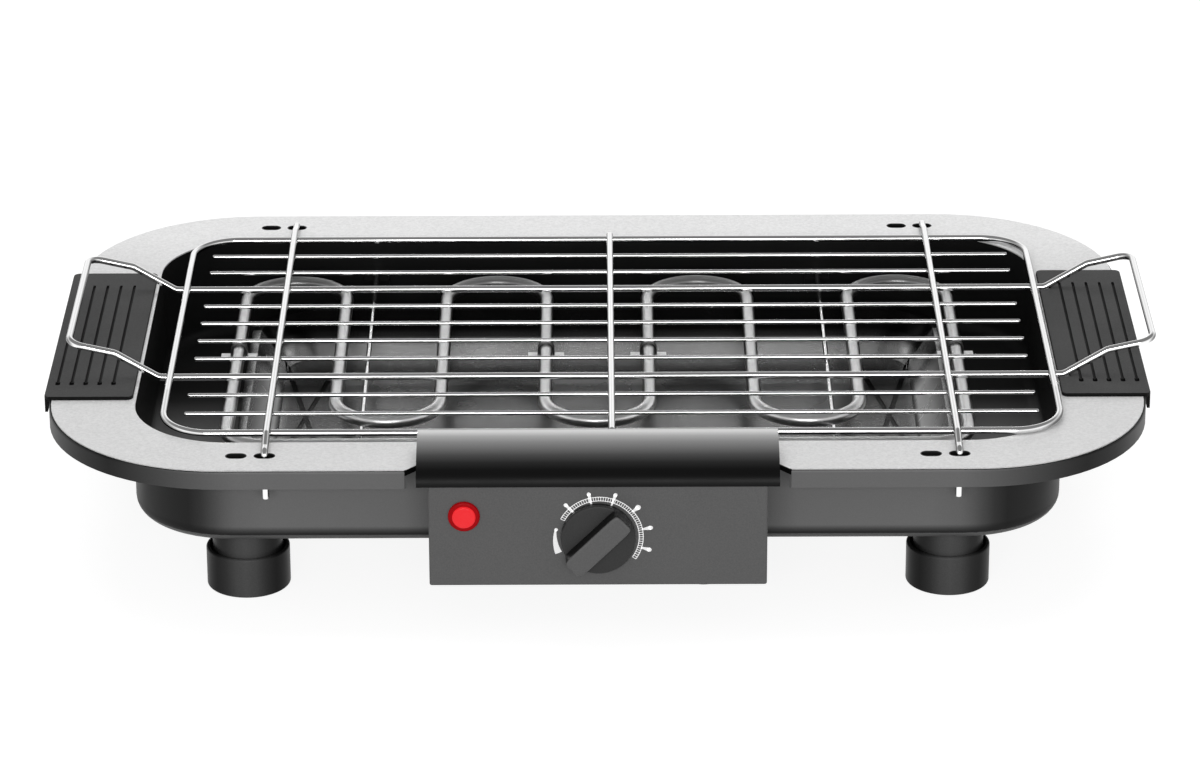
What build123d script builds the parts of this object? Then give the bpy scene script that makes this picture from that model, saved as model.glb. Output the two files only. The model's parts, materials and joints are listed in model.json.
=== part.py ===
from build123d import *
import math
import os

os.makedirs("parts", exist_ok=True)

# Electric table grill. X runs to the right, Y to the rear, Z up, all in millimetres.
# Everything is drawn about the middle of the rim's top face and set down on the table at the end.

# General stock and clearances
overrun = 5.0
sheet = 1.0
facing = 0.6
slip = 0.3
running_fit = 0.05
screw_r = 2.0
screw_hole_r = 2.3
screw_head_r = 3.8
screw_head_h = 2.4

# Rim and tub
rim_half_x = 250.0
rim_half_y = 156.3
rim_width_x = 39.5
rim_width_y = 31.6
rim_corner_r = 82.0
skirt_depth = 8.9
opening_half_x = rim_half_x - rim_width_x
opening_half_y = rim_half_y - rim_width_y
opening_corner_r = 45.0
tub_depth = 49.2
tub_edge_r = 6.4
facing_inset = 1.0
rim_height = 78.0

# Raised rests pressed into the tub floor
rest_length = 240.0
rest_width = 16.0
rest_y = 38.0

# Notch for the control box, and the mouth that the heater legs pass through
box_half_x = 75.0
notch_room = 2.0
notch_splay = 10.6
notch_shoulder = 10.0
mouth_inset = 19.0
notch_half = box_half_x + notch_room
notch_front_half = box_half_x + notch_splay
notch_shoulder_y = rim_half_y - notch_shoulder
mouth_half = box_half_x - mouth_inset
mouth_depth = 18.0

# Slots for the rack legs, in pairs
slot_length = 8.8
slot_width = 5.0
slot_from_end = 55.9
slot_from_edge = 14.8
slot_half_pitch = 6.35
slot_pair_x = opening_half_x - slot_from_end
slot_y = opening_half_y + slot_from_edge

# Handle pads
pad_inset = 1.5
pad_overhang = 2.5
pad_inner_x = opening_half_x + pad_inset
pad_outer_x = rim_half_x + pad_overhang
pad_half_y = 76.0
pad_height = 1.6
pad_lip = 1.3
pad_lip_depth = 7.0
pad_corner_r = 3.0
pad_edge_r = 0.5
groove_count = 5
groove_pitch = 6.4
groove_margin = 10.0
groove_first_x = pad_inner_x + groove_margin
groove_half_length = 60.0
groove_width = 1.3
groove_depth = 0.8
groove_dot_width = 2.2
groove_dot_length = 4.4
groove_dot_depth = 1.3
wire_rest_length = 5.5
wire_rest_width = 4.4
pad_boss_inset = 20.0
pad_boss_x = pad_inner_x + pad_boss_inset
pad_boss_y = 68.0
pad_boss_r = 3.5
pad_screw_r = 1.4
pad_washer_r = 5.0
pad_washer_h = 0.8

# Feet
foot_inset_x = 51.1
foot_inset_y = 20.7
foot_x = opening_half_x - foot_inset_x
foot_y = opening_half_y - foot_inset_y
cup_r = 19.0
cup_bore_r = 17.4
cup_height = 19.0
cup_bore_depth = 7.0
cup_edge_r = 1.0
stem_r = 16.0
foot_recess_r = 5.0
foot_recess_h = 6.0
nut_across_flats = 7.0
nut_h = 3.2

# Drip pan
pan_room_x = 44.5
pan_room_y = 35.7
pan_hem_half_x = opening_half_x - pan_room_x
pan_hem_half_y = opening_half_y - pan_room_y
pan_hem_z = -22.0
pan_hem_width = 3.2
pan_sheet = 0.8
pan_corner_r = 30.0
pan_floor_z = -42.0
pan_wall_run = 12.0
crease_inset = 28.0
crease_margin = 27.0
crease_x = pan_hem_half_x - crease_inset
crease_half_x = 12.0
crease_half_y = pan_hem_half_y - crease_margin
crease_width = 2.2
crease_depth = 0.4

# Heating element
tube_r = 3.2
tube_z = -12.0
tube_count = 8
tube_margin = 41.31
rear_room = 52.7
front_room = 23.7
front_step = 51.0
tube_pitch = 2 * (opening_half_x - tube_margin) / (tube_count - 1)
rear_bend_y = opening_half_y - rear_room
front_run_y = front_room - opening_half_y
front_bend_y = front_run_y + front_step
front_corner_r = 18.0
leg_inset = 11.0
leg_x = mouth_half - leg_inset
leg_corner_r = 12.0
leg_reach = 11.3
leg_end_y = -(opening_half_y + leg_reach)
pin_r = 1.3
pin_length = 8.0
pin_end_y = leg_end_y - pin_length
tab_length = 7.0
tab_width = 6.3
tab_thickness = 0.8
ferrule_r = 7.0
ferrule_thickness = 1.6
ferrule_sleeve_r = 4.2
ferrule_sleeve_length = 5.0

# Wires and clips that hold the element
cross_rod_r = 1.0
cross_rod_y = 11.0
cross_rod_overhang = 5.0
rail_r = 1.2
rail_x = 108.5
rail_gap = 1.2
clip_width = 9.0
clip_sheet = 0.8
clip_half_span = 8.5
rest_tab_width = 12.0
rest_tab_reach = 6.0
rest_tab_rise = 7.0
rest_tab_sheet = 0.8

# Control box
panel_overhang = 6.7
panel_front_y = -(rim_half_y + panel_overhang)
panel_bottom_z = -53.1
panel_top_z = -3.2
panel_bend_r = 1.0
back_gap = 0.5
hook_inset = 10.0
hook_x = box_half_x - hook_inset
hook_half_width = 7.0
hook_depth = 9.0
hook_gap = 0.5
shelf_reach = 14.3
shelf_front_y = -(opening_half_y + shelf_reach)
box_screw_inset = 13.0
box_screw_x = box_half_x - box_screw_inset
box_screw_z = -47.0
box_screw_r = 1.4
box_lug_reach = 9.0

# Hood over the box
hood_overlap = 5.25
hood_half_x = box_half_x + hood_overlap
hood_setback = 9.3
hood_crest_y = -(opening_half_y + hood_setback)
hood_crest_z = 9.2
hood_run = 30.0
hood_drop = 14.0
hood_lap = 1.8
hood_rear_y = hood_crest_y + hood_lap
hood_lift = 0.4
cheek_setback = 4.3
cheek_step_y = cheek_setback - rim_half_y
hood_screw_inset = 35.0
hood_screw_x = box_half_x - hood_screw_inset
hood_foot_width = 5.0

# Knob and thermostat
knob_z = -29.4
knob_r = 16.5
knob_gap = 0.6
knob_skirt = 3.2
knob_height = 11.0
knob_edge_r = 0.8
grip_width = 10.0
grip_tip = 18.0
grip_edge_r = 0.7
knob_turn = 225.0
knob_back_r = 8.5
knob_back_depth = 2.6
shaft_r = 3.0
shaft_flat = 2.2
shaft_end_depth = 1.6
bush_r = 4.5
bush_reach = 2.0
bush_nut_flats = 12.0
bush_nut_h = 1.8
stat_half_x = 16.0
stat_half_z = 12.0
stat_depth = 14.0

# Lamp
lamp_inset = 15.7
lamp_x = lamp_inset - box_half_x
lamp_z = -19.1
lamp_r = 7.1
lamp_ring = 1.9
lamp_ring_h = 1.4
lamp_dome_h = 2.4
lamp_body_r = 4.8
lamp_body_length = 17.0
lamp_clip_r = 8.0
lamp_clip_h = 1.2

# Wiring inside the box
block_z = -38.0
block_half_x = 13.0
block_half_z = 7.0
block_depth = 12.0
block_hole_r = 2.0
block_gap = 9.0
block_x = stat_half_x + block_gap + block_half_x
cutout_x = -22.0
cutout_z = -40.0
cutout_r = 8.0
cutout_depth = 7.0
gland_inset = 28.0
gland_setback = 8.3
gland_x = box_half_x - gland_inset
gland_y = gland_setback - rim_half_y
gland_r = 7.0
gland_flange_r = 9.0
gland_flange_h = 3.0
gland_length = 9.0
gland_bore_r = 3.6
lead_r = 1.1
lead_bend_r = 3.4
lead_gap = 0.1
lead_setback = 7.0
lead_reach = 8.5
lead_front_y = panel_front_y + lead_setback
lead_rear_y = -(opening_half_y + lead_reach)
lead_high_z = -22.5
earth_inset = 13.0
earth_x = box_half_x - earth_inset
earth_z = -18.6
earth_tag_r = 3.5

# Grill rack
wire_r = 1.65
thin_r = 1.0
rack_room_x = 7.9
rack_room_y = 6.7
rack_half_x = opening_half_x - rack_room_x
rack_half_y = opening_half_y - rack_room_y
rack_corner_r = 22.0
bar_steps = (-4.5, -3.5, -1.5, -0.5, 0.5, 1.5, 3.5, 4.5)
loop_step = 2.5
bar_margin = 21.7
bar_setback = 9.2
bar_pitch = (rack_half_y - bar_margin) / bar_steps[-1]
bar_half_length = rack_half_x - bar_setback
rim_gap = 0.05
frame_rise = 1.6
frame_hump_reach = 21.5
frame_hump_r = 60.0
weld_sink = 0.25
leg_bend_r = 2.0
leg_tip_z = -21.0
joggle_setback = 5.5
joggle_reach = 6.0
joggle_r = 5.0
handle_kink_reach = 5.4
handle_knee_reach = 25.4
handle_reach = 46.4
handle_knee_z = 13.8
handle_end_z = 18.6
handle_kink_r = 6.0
handle_corner_r = 7.0

# Worked out from the values above
wall_outer_y = opening_half_y + sheet
rack_shift = slot_half_pitch
loop_y = bar_pitch * loop_step
frame_hump_y = loop_y + frame_hump_reach
joggle_outer_y = slot_y - joggle_setback
joggle_inner_y = rack_half_y + joggle_reach
handle_kink_x = rack_half_x + handle_kink_reach
handle_knee_x = rack_half_x + handle_knee_reach
handle_end_x = rack_half_x + handle_reach
wire_z = wire_r + rim_gap
frame_side_z = wire_z + frame_rise
crossbar_z = wire_z + wire_r + thin_r - weld_sink
thin_z = wire_z
tub_floor_z = sheet - tub_depth
pan_under_z = pan_floor_z - pan_sheet
rod_z = tube_z - tube_r - cross_rod_r
rail_z = rod_z - cross_rod_r - rail_r
rail_half = opening_half_y - rail_gap
back_front_y = -(wall_outer_y + back_gap) - sheet
back_rear_y = back_front_y + sheet
hook_top_z = sheet - facing
knob_front_y = panel_front_y - knob_gap - knob_height
foot_floor_z = cup_height - cup_bore_depth - rim_height
front_reach = knob_front_y
right_reach = rack_shift + handle_end_x + wire_r
mid_x = (right_reach - pad_outer_x) / 2
mid_y = (front_reach + rim_half_y) / 2
to_table = Pos(-mid_x, -mid_y, rim_height)

SIDES = {"left": -1, "right": 1}
ENDS = {"front": -1, "rear": 1}


def save(shape, name):
    """Set a finished piece down on the table frame and write it."""
    export_step(to_table * shape, f"parts/{name}.step")


def block(x0, x1, y0, y1, z0, z1):
    """A box between two limits along each axis."""
    middle = Pos((x0 + x1) / 2, (y0 + y1) / 2, (z0 + z1) / 2)
    return middle * Box(abs(x1 - x0), abs(y1 - y0), abs(z1 - z0))


def rounded_prism(half_x, half_y, corner_r, z0, z1):
    """A rounded rectangle about the middle, between two heights."""
    return Pos(0, 0, z0) * extrude(RectangleRounded(2 * half_x, 2 * half_y, corner_r), z1 - z0)


def upright(radius, x, y, z0, z1):
    """A round bar along Z."""
    return Pos(x, y, (z0 + z1) / 2) * Cylinder(radius, abs(z1 - z0))


def along_y(radius, x, z, y0, y1):
    """A round bar along Y."""
    return Pos(x, (y0 + y1) / 2, z) * Rot(X=90) * Cylinder(radius, abs(y1 - y0))


def hexagon_upright(flats, x, y, z0, z1):
    """A hexagonal bar along Z."""
    profile = RegularPolygon(flats / 2, 6, major_radius=False)
    return Pos(x, y, z0) * extrude(profile, z1 - z0)


def edges_at(shape, height):
    """The edges that lie flat at one height."""
    return shape.edges().filter_by_position(Axis.Z, height - running_fit, height + running_fit)


def bent_path(points, radii, closed=False):
    """Straight runs through the points, joined by tangent arcs of the given radii.

    A closed path starts and ends at its first point, which lies inside a straight run.
    """
    places = [Vector(*point) for point in points]
    if closed:
        places.append(places[0])
    edges = []
    start = places[0]
    for index, radius in enumerate(radii):
        corner = places[index + 1]
        into = (corner - places[index]).normalized()
        out = (places[index + 2] - corner).normalized()
        half_turn = math.radians(into.get_angle(out)) / 2
        reach = radius * math.tan(half_turn)
        arc_start = corner - into * reach
        arc_end = corner + out * reach
        inward = (out - into).normalized()
        arc_middle = corner + inward * (radius / math.cos(half_turn) - radius)
        edges.append(Line(start, arc_start))
        edges.append(ThreePointArc(arc_start, arc_middle, arc_end))
        start = arc_end
    edges.append(Line(start, places[-1]))
    return Wire(edges)


def round_wire(path, radius):
    """A round wire of even thickness along a path."""
    section = Plane(origin=path @ 0, z_dir=path % 0) * Circle(radius)
    return sweep(section, path=path)


def group(solids):
    """Several separate solids as one piece."""
    return Compound(children=list(solids))


# Tub, flange and skirt: one deep-drawn sheet
def notch(rear_y):
    """The cut that lets the control box drop in through the front of the rim."""
    front = -rim_half_y - overrun
    slope = (notch_front_half - notch_half) / (rim_half_y - notch_shoulder_y)
    front_half = notch_front_half + slope * overrun
    corners = [
        (-front_half, front),
        (-notch_half, -notch_shoulder_y),
        (-notch_half, rear_y),
        (notch_half, rear_y),
        (notch_half, -notch_shoulder_y),
        (front_half, front),
    ]
    outline = make_face(Polyline(*corners, close=True))
    low = -skirt_depth - overrun
    return Pos(0, 0, low) * extrude(outline, overrun - low)


def leg_slots(z0, z1):
    """The eight slots that the rack legs can drop into."""
    slot = extrude(SlotOverall(slot_length, slot_width), z1 - z0)
    cuts = []
    for x_sign in SIDES.values():
        for y_sign in ENDS.values():
            for shift in (-slot_half_pitch, slot_half_pitch):
                cuts.append(Pos(x_sign * slot_pair_x + shift, y_sign * slot_y, z0) * slot)
    return cuts


def boss_holes(radius, z0, z1):
    """The holes under the handle pads."""
    cuts = []
    for x_sign in SIDES.values():
        for y_sign in ENDS.values():
            cuts.append(upright(radius, x_sign * pad_boss_x, y_sign * pad_boss_y, z0, z1))
    return cuts


def pan_rest(y, inset, z0, z1):
    """One raised rest on the tub floor, or with an inset the hollow below it."""
    outline = SlotOverall(rest_length - 2 * inset, rest_width - 2 * inset)
    return Pos(0, y, z0) * extrude(outline, z1 - z0)


def tub_body():
    top = -facing
    flange = rounded_prism(rim_half_x, rim_half_y, rim_corner_r, -skirt_depth, top)
    flange = fillet(edges_at(flange, top), sheet - running_fit)
    hollow_half_x = rim_half_x - sheet
    hollow_half_y = rim_half_y - sheet
    flange -= rounded_prism(
        hollow_half_x, hollow_half_y, rim_corner_r - sheet, -skirt_depth - overrun, top - sheet
    )
    outer = rounded_prism(
        opening_half_x + sheet, opening_half_y + sheet, opening_corner_r + sheet, -tub_depth, top
    )
    outer = fillet(edges_at(outer, -tub_depth), tub_edge_r)
    inner = rounded_prism(opening_half_x, opening_half_y, opening_corner_r, tub_floor_z, overrun)
    inner = fillet(edges_at(inner, tub_floor_z), tub_edge_r - sheet)
    tub = flange + outer - inner
    for y_sign in ENDS.values():
        y = y_sign * rest_y
        tub += pan_rest(y, 0, tub_floor_z - running_fit, pan_under_z)
        tub -= pan_rest(y, sheet, -tub_depth - overrun, pan_under_z - sheet)
    tub -= notch(-wall_outer_y)
    tub -= block(-mouth_half, mouth_half, -wall_outer_y - overrun, -opening_half_y + sheet,
                 -mouth_depth, overrun)
    tub -= leg_slots(-facing - sheet - overrun, overrun)
    tub -= boss_holes(pad_boss_r + slip / 2, -facing - sheet - overrun, overrun)
    for x_sign in SIDES.values():
        for y_sign in ENDS.values():
            x, y = x_sign * foot_x, y_sign * foot_y
            tub -= upright(screw_hole_r, x, y, -tub_depth - overrun, tub_floor_z + overrun)
    return tub


def rim_plate():
    """The pale facing sheet that lies on the flange."""
    half_x = rim_half_x - facing_inset
    half_y = rim_half_y - facing_inset
    plate = rounded_prism(half_x, half_y, rim_corner_r - facing_inset, -facing, 0)
    plate -= rounded_prism(opening_half_x, opening_half_y, opening_corner_r, -overrun, overrun)
    plate -= notch(-opening_half_y + overrun)
    plate -= leg_slots(-overrun, overrun)
    plate -= boss_holes(pad_boss_r + slip / 2, -overrun, overrun)
    return plate


save(tub_body(), "tub_body")
save(rim_plate(), "rim_plate")


# Handle pads
def handle_pad(side):
    """A grooved plastic pad over the end of the rim; the rack's loop rests across the right one."""
    def across(x0, x1, y0, y1, z0, z1):
        return block(side * x0, side * x1, y0, y1, z0, z1)

    middle_x = side * (pad_inner_x + pad_outer_x) / 2
    outline = RectangleRounded(pad_outer_x - pad_inner_x, 2 * pad_half_y, pad_corner_r)
    plate = Pos(middle_x, 0, 0) * extrude(outline, pad_height)
    lip_half_y = pad_half_y - pad_corner_r
    lip_x = pad_outer_x - pad_lip
    pad = plate + across(lip_x, pad_outer_x, -lip_half_y, lip_half_y, -pad_lip_depth, pad_edge_r)
    pad = fillet(edges_at(pad, pad_height), pad_edge_r)
    floor_z = pad_height - groove_depth
    groove = extrude(SlotOverall(2 * groove_half_length, groove_width, rotation=90), overrun)
    dot = extrude(SlotOverall(groove_dot_length, groove_dot_width, rotation=90), overrun)
    for index in range(groove_count):
        x = side * (groove_first_x + index * groove_pitch)
        pad -= Pos(x, 0, floor_z) * groove
        pad -= Pos(x, -groove_half_length, pad_height - groove_dot_depth) * dot
    for y_sign in ENDS.values():
        if side == SIDES["right"]:
            y = y_sign * loop_y
            half = wire_rest_width / 2
            pad -= across(pad_inner_x - overrun, pad_inner_x + wire_rest_length,
                          y - half, y + half, 0, overrun)
        boss_y = y_sign * pad_boss_y
        pad += upright(pad_boss_r, side * pad_boss_x, boss_y, -facing - sheet, running_fit)
        pad -= upright(pad_screw_r, side * pad_boss_x, boss_y, -overrun, pad_height / 2)
    return pad


def pad_screw(x, y):
    """A washer-head screw driven up into a pad boss."""
    seat = -facing - sheet
    screw = upright(pad_screw_r, x, y, seat, pad_height / 2 - slip)
    screw += upright(pad_washer_r, x, y, seat - pad_washer_h, seat)
    screw += upright(screw_head_r, x, y, seat - pad_washer_h - screw_head_h, seat)
    return screw


for side_name, side_sign in SIDES.items():
    save(handle_pad(side_sign), f"handle_pad_{side_name}")

pad_screws = []
for side_sign in SIDES.values():
    for end_sign in ENDS.values():
        pad_screws.append(pad_screw(side_sign * pad_boss_x, end_sign * pad_boss_y))
save(group(pad_screws), "pad_screws")


# Feet: a stem under the tub, standing in a wider cup
def foot_stem(x, y):
    stem = upright(stem_r, x, y, foot_floor_z, -tub_depth)
    return stem - upright(screw_hole_r, x, y, foot_floor_z - overrun, -tub_depth + overrun)


def foot_cup(x, y):
    cup = upright(cup_r, x, y, -rim_height, cup_height - rim_height)
    cup = fillet(cup.edges().filter_by(GeomType.CIRCLE), cup_edge_r)
    cup -= upright(cup_bore_r, x, y, foot_floor_z, overrun)
    cup -= upright(foot_recess_r, x, y, -rim_height - overrun, foot_recess_h - rim_height)
    return cup - upright(screw_hole_r, x, y, -rim_height - overrun, overrun)


def foot_screw(x, y):
    seat = foot_recess_h - rim_height
    shank_top = tub_floor_z + nut_h + sheet
    screw = upright(screw_r, x, y, seat - screw_head_h, shank_top)
    return screw + upright(screw_head_r, x, y, seat - screw_head_h, seat)


def foot_nut(x, y):
    nut = hexagon_upright(nut_across_flats, x, y, tub_floor_z, tub_floor_z + nut_h)
    return nut - upright(screw_r, x, y, tub_floor_z - overrun, tub_floor_z + overrun)


foot_screws = []
foot_nuts = []
for end_name, end_sign in ENDS.items():
    for side_name, side_sign in SIDES.items():
        centre_x, centre_y = side_sign * foot_x, end_sign * foot_y
        save(foot_stem(centre_x, centre_y), f"foot_stem_{end_name}_{side_name}")
        save(foot_cup(centre_x, centre_y), f"foot_cup_{end_name}_{side_name}")
        foot_screws.append(foot_screw(centre_x, centre_y))
        foot_nuts.append(foot_nut(centre_x, centre_y))
save(group(foot_screws), "foot_screws")
save(group(foot_nuts), "foot_nuts")


# Small shelves on the tub walls, which carry the ends of the support rails
def rest_tab(x, end):
    wall_y = end * opening_half_y
    top = rail_z - rail_r
    inner_y = wall_y - end * rest_tab_reach
    half = rest_tab_width / 2
    shelf = block(x - half, x + half, inner_y, wall_y, top - rest_tab_sheet, top)
    flange_y = wall_y - end * rest_tab_sheet
    return shelf + block(x - half, x + half, flange_y, wall_y, top - rest_tab_rise, top)


rest_tabs = []
for side_sign in SIDES.values():
    for end_sign in ENDS.values():
        rest_tabs.append(rest_tab(side_sign * rail_x, end_sign))
save(group(rest_tabs), "rail_rest_tabs")


# Drip pan: a shallow tray with sloping walls and a flat hem
def pan_loft(grow, z0, z1, top_half_x, top_half_y):
    """The tray's sloping body between two heights, a little larger or smaller all round."""
    low_r = pan_corner_r - pan_wall_run
    bottom = RectangleRounded(
        2 * (top_half_x - pan_wall_run + grow), 2 * (top_half_y - pan_wall_run + grow), low_r + grow
    )
    top = RectangleRounded(2 * (top_half_x + grow), 2 * (top_half_y + grow), pan_corner_r + grow)
    return loft([Pos(0, 0, z0) * bottom, Pos(0, 0, z1) * top])


def drip_pan():
    top_half_x = pan_hem_half_x - pan_hem_width
    top_half_y = pan_hem_half_y - pan_hem_width
    tray = pan_loft(0, pan_under_z, pan_hem_z - pan_sheet, top_half_x, top_half_y)
    tray += rounded_prism(
        pan_hem_half_x, pan_hem_half_y, pan_corner_r + pan_hem_width,
        pan_hem_z - pan_sheet, pan_hem_z
    )
    tray -= pan_loft(-pan_sheet, pan_floor_z, pan_hem_z + running_fit, top_half_x, top_half_y)
    turn = math.degrees(math.atan2(crease_half_x, crease_half_y))
    length = 2 * math.hypot(crease_half_x, crease_half_y)
    for x_sign in SIDES.values():
        for tilt in (-turn, turn):
            crease = extrude(SlotOverall(length, crease_width, rotation=90), overrun)
            spot = Pos(x_sign * crease_x, 0, pan_floor_z - crease_depth) * Rot(Z=tilt)
            tray -= spot * crease
    return tray


save(drip_pan(), "drip_pan")


# Heating element: one tube, folded into eight straight lengths
def element_path():
    outer_x = tube_pitch * (tube_count - 1) / 2
    bend_r = tube_pitch / 2
    rear_y = rear_bend_y + bend_r
    front_y = front_bend_y - bend_r
    points = [(-leg_x, leg_end_y, tube_z), (-leg_x, front_run_y, tube_z),
              (-outer_x, front_run_y, tube_z)]
    radii = [leg_corner_r, front_corner_r]
    for index in range(tube_count - 1):
        x = -outer_x + index * tube_pitch
        turn_y = rear_y if index % 2 == 0 else front_y
        points.append((x, turn_y, tube_z))
        points.append((x + tube_pitch, turn_y, tube_z))
        radii.extend([bend_r - running_fit, bend_r - running_fit])
    points.extend([(outer_x, front_run_y, tube_z), (leg_x, front_run_y, tube_z),
                   (leg_x, leg_end_y, tube_z)])
    radii.extend([front_corner_r, leg_corner_r])
    return bent_path(points, radii)


def terminal_pin(x):
    """The cold pin at a tube end, with its flat push-on tab."""
    pin = along_y(pin_r, x, tube_z, pin_end_y, leg_end_y)
    half_w, half_t = tab_width / 2, tab_thickness / 2
    tab_y = pin_end_y - tab_length
    return pin + block(x - half_w, x + half_w, tab_y, pin_end_y + pin_r,
                       tube_z - half_t, tube_z + half_t)


def tube_ferrule(x):
    """The swaged collar that locks a tube leg in the back of the box."""
    front = back_front_y - ferrule_thickness
    collar = along_y(ferrule_r, x, tube_z, front, back_front_y)
    collar += along_y(ferrule_sleeve_r, x, tube_z, back_front_y, front + ferrule_sleeve_length)
    return collar - along_y(tube_r, x, tube_z, front - overrun, back_rear_y + overrun)


def saddle_clip(x):
    """A strip bent over one tube, with its two feet spread on the cross rod."""
    outer_r = tube_r + clip_sheet
    foot_low = tube_z - tube_r
    y0, y1 = cross_rod_y - clip_width / 2, cross_rod_y + clip_width / 2
    arch = along_y(outer_r, x, tube_z, y0, y1)
    arch += block(x - outer_r, x + outer_r, y0, y1, foot_low, tube_z)
    arch -= block(x - outer_r, x + outer_r, y0, y1, foot_low - overrun, foot_low)
    feet = block(x - clip_half_span, x + clip_half_span, y0, y1, foot_low, foot_low + clip_sheet)
    clip = arch + feet
    clip -= along_y(tube_r, x, tube_z, y0 - overrun, y1 + overrun)
    return clip - block(x - tube_r, x + tube_r, y0 - overrun, y1 + overrun, foot_low - overrun, tube_z)


def along_x(radius, x0, x1, y, z):
    """A round bar along X."""
    return Pos((x0 + x1) / 2, y, z) * Rot(Y=90) * Cylinder(radius, abs(x1 - x0))


save(round_wire(element_path(), tube_r), "heating_element")
save(group([terminal_pin(sign * leg_x) for sign in SIDES.values()]), "terminal_pins")
save(group([tube_ferrule(sign * leg_x) for sign in SIDES.values()]), "tube_ferrules")

clip_columns = (0, 3, 4, 7)
first_tube_x = -tube_pitch * (tube_count - 1) / 2
clips = [saddle_clip(first_tube_x + column * tube_pitch) for column in clip_columns]
save(group(clips), "saddle_clips")
rod_half = -first_tube_x + cross_rod_overhang
save(along_x(cross_rod_r, -rod_half, rod_half, cross_rod_y, rod_z), "cross_rod")
rails = [along_y(rail_r, sign * rail_x, rail_z, -rail_half, rail_half) for sign in SIDES.values()]
save(group(rails), "support_rails")


# Control box: a folded front, a back that hooks over the tub wall, and a curved hood
def front_panel():
    low, high = panel_bottom_z, panel_top_z
    shell = block(-box_half_x, box_half_x, panel_front_y, back_front_y, low, high)
    shell = fillet(shell.edges().filter_by(Axis.Z).group_by(Axis.Y)[0], panel_bend_r)
    shell = fillet(shell.edges().filter_by(Axis.X).group_by(Axis.Z)[0].group_by(Axis.Y)[0],
                   panel_bend_r)
    inside = box_half_x - sheet
    shell -= block(-inside, inside, panel_front_y + sheet, back_front_y + overrun,
                   low + sheet, high + overrun)
    shell -= along_y(bush_r + running_fit, 0, knob_z, panel_front_y - overrun, panel_front_y + overrun)
    shell -= along_y(lamp_body_r + running_fit, lamp_x, lamp_z, panel_front_y - overrun,
                     panel_front_y + overrun)
    shell -= upright(gland_r + running_fit, gland_x, gland_y, low - overrun, low + overrun)
    for x_sign in SIDES.values():
        lug_x = x_sign * (box_half_x - sheet)
        inner_x = lug_x - x_sign * box_lug_reach * 2
        lug = block(inner_x, lug_x, back_front_y - sheet, back_front_y,
                    box_screw_z - box_lug_reach / 2, box_screw_z + box_lug_reach / 2)
        hole = along_y(box_screw_r, x_sign * box_screw_x, box_screw_z,
                       back_front_y - overrun, back_front_y + overrun)
        shell += lug - hole
    return shell


def box_back():
    """The back plate, with the shelf and hooks that hang the box on the tub wall."""
    half = box_half_x - sheet
    plate = block(-half, half, back_front_y, back_rear_y, panel_bottom_z + sheet, hook_top_z)
    shelf_rear_y = -opening_half_y + hook_gap + sheet
    plate += block(-half, half, shelf_front_y, shelf_rear_y, -facing, hook_top_z)
    for x_sign in SIDES.values():
        x = x_sign * hook_x
        plate += block(x - hook_half_width, x + hook_half_width, shelf_rear_y - sheet, shelf_rear_y,
                       -hook_depth, hook_top_z)
        plate -= along_y(ferrule_sleeve_r + running_fit, x_sign * leg_x, tube_z,
                         back_front_y - overrun, back_rear_y + overrun)
        plate -= along_y(box_screw_r + slip, x_sign * box_screw_x, box_screw_z,
                         back_front_y - overrun, back_rear_y + overrun)
        plate -= upright(box_screw_r + slip, x_sign * hood_screw_x,
                         hood_rear_y - hood_foot_width / 2, -overrun, overrun)
    return plate


def quarter_ellipse(run, drop):
    """A quarter of an ellipse, from the crest forward and down."""
    centre = (hood_crest_y, hood_crest_z - hood_drop)
    return EllipticalCenterArc(centre, run, drop, start_angle=90, arc_size=90)


def hood_outline(inset):
    """The hood's section in the Y and Z plane, closed along its lower edge."""
    outer = quarter_ellipse(hood_run - inset, hood_drop - inset)
    base_z = hood_crest_z - hood_drop
    rear_y = hood_rear_y - inset
    top_z = hood_crest_z - inset
    sides = Polyline(outer @ 1, (rear_y, base_z), (rear_y, top_z), outer @ 0)
    return make_face(outer + sides)


def control_hood():
    half = hood_half_x
    section = Plane(origin=(-half, 0, 0), x_dir=(0, 1, 0), z_dir=(1, 0, 0))
    hood = extrude(section * hood_outline(0), 2 * half)
    inner = Plane(origin=(-half + sheet, 0, 0), x_dir=(0, 1, 0), z_dir=(1, 0, 0))
    hood -= extrude(inner * hood_outline(sheet), 2 * (half - sheet))
    low = hood_crest_z - hood_drop
    hood -= block(-half - overrun, half + overrun, cheek_step_y, 0, low - overrun, hood_lift)
    hood -= block(-box_half_x, box_half_x, panel_front_y, panel_front_y + sheet, low - overrun,
                  panel_top_z)
    for x_sign in SIDES.values():
        x = x_sign * hood_screw_x
        foot = block(x - hood_foot_width, x + hood_foot_width, hood_rear_y - hood_foot_width,
                     hood_rear_y, hood_lift, hood_lift + sheet)
        foot -= upright(box_screw_r, x, hood_rear_y - hood_foot_width / 2, -overrun, overrun)
        hood += foot
    return hood


def box_screw(x):
    head = along_y(screw_head_r - sheet, x, box_screw_z, back_rear_y, back_rear_y + back_gap - slip / 2)
    return head + along_y(box_screw_r, x, box_screw_z, back_front_y - sheet - screw_head_h, back_rear_y)


def hood_screw(x):
    y = hood_rear_y - hood_foot_width / 2
    head = upright(screw_head_r - sheet, x, y, -facing - screw_head_h, -facing)
    return head + upright(box_screw_r, x, y, -facing, hood_lift + sheet + screw_head_h)


save(front_panel(), "front_panel")
save(box_back(), "box_back")
save(control_hood(), "control_hood")
save(group([box_screw(sign * box_screw_x) for sign in SIDES.values()]), "box_screws")
save(group([hood_screw(sign * hood_screw_x) for sign in SIDES.values()]), "hood_screws")


# Thermostat, its shaft and the knob
stat_front_y = panel_front_y + sheet
stat_rear_y = stat_front_y + stat_depth


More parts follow.
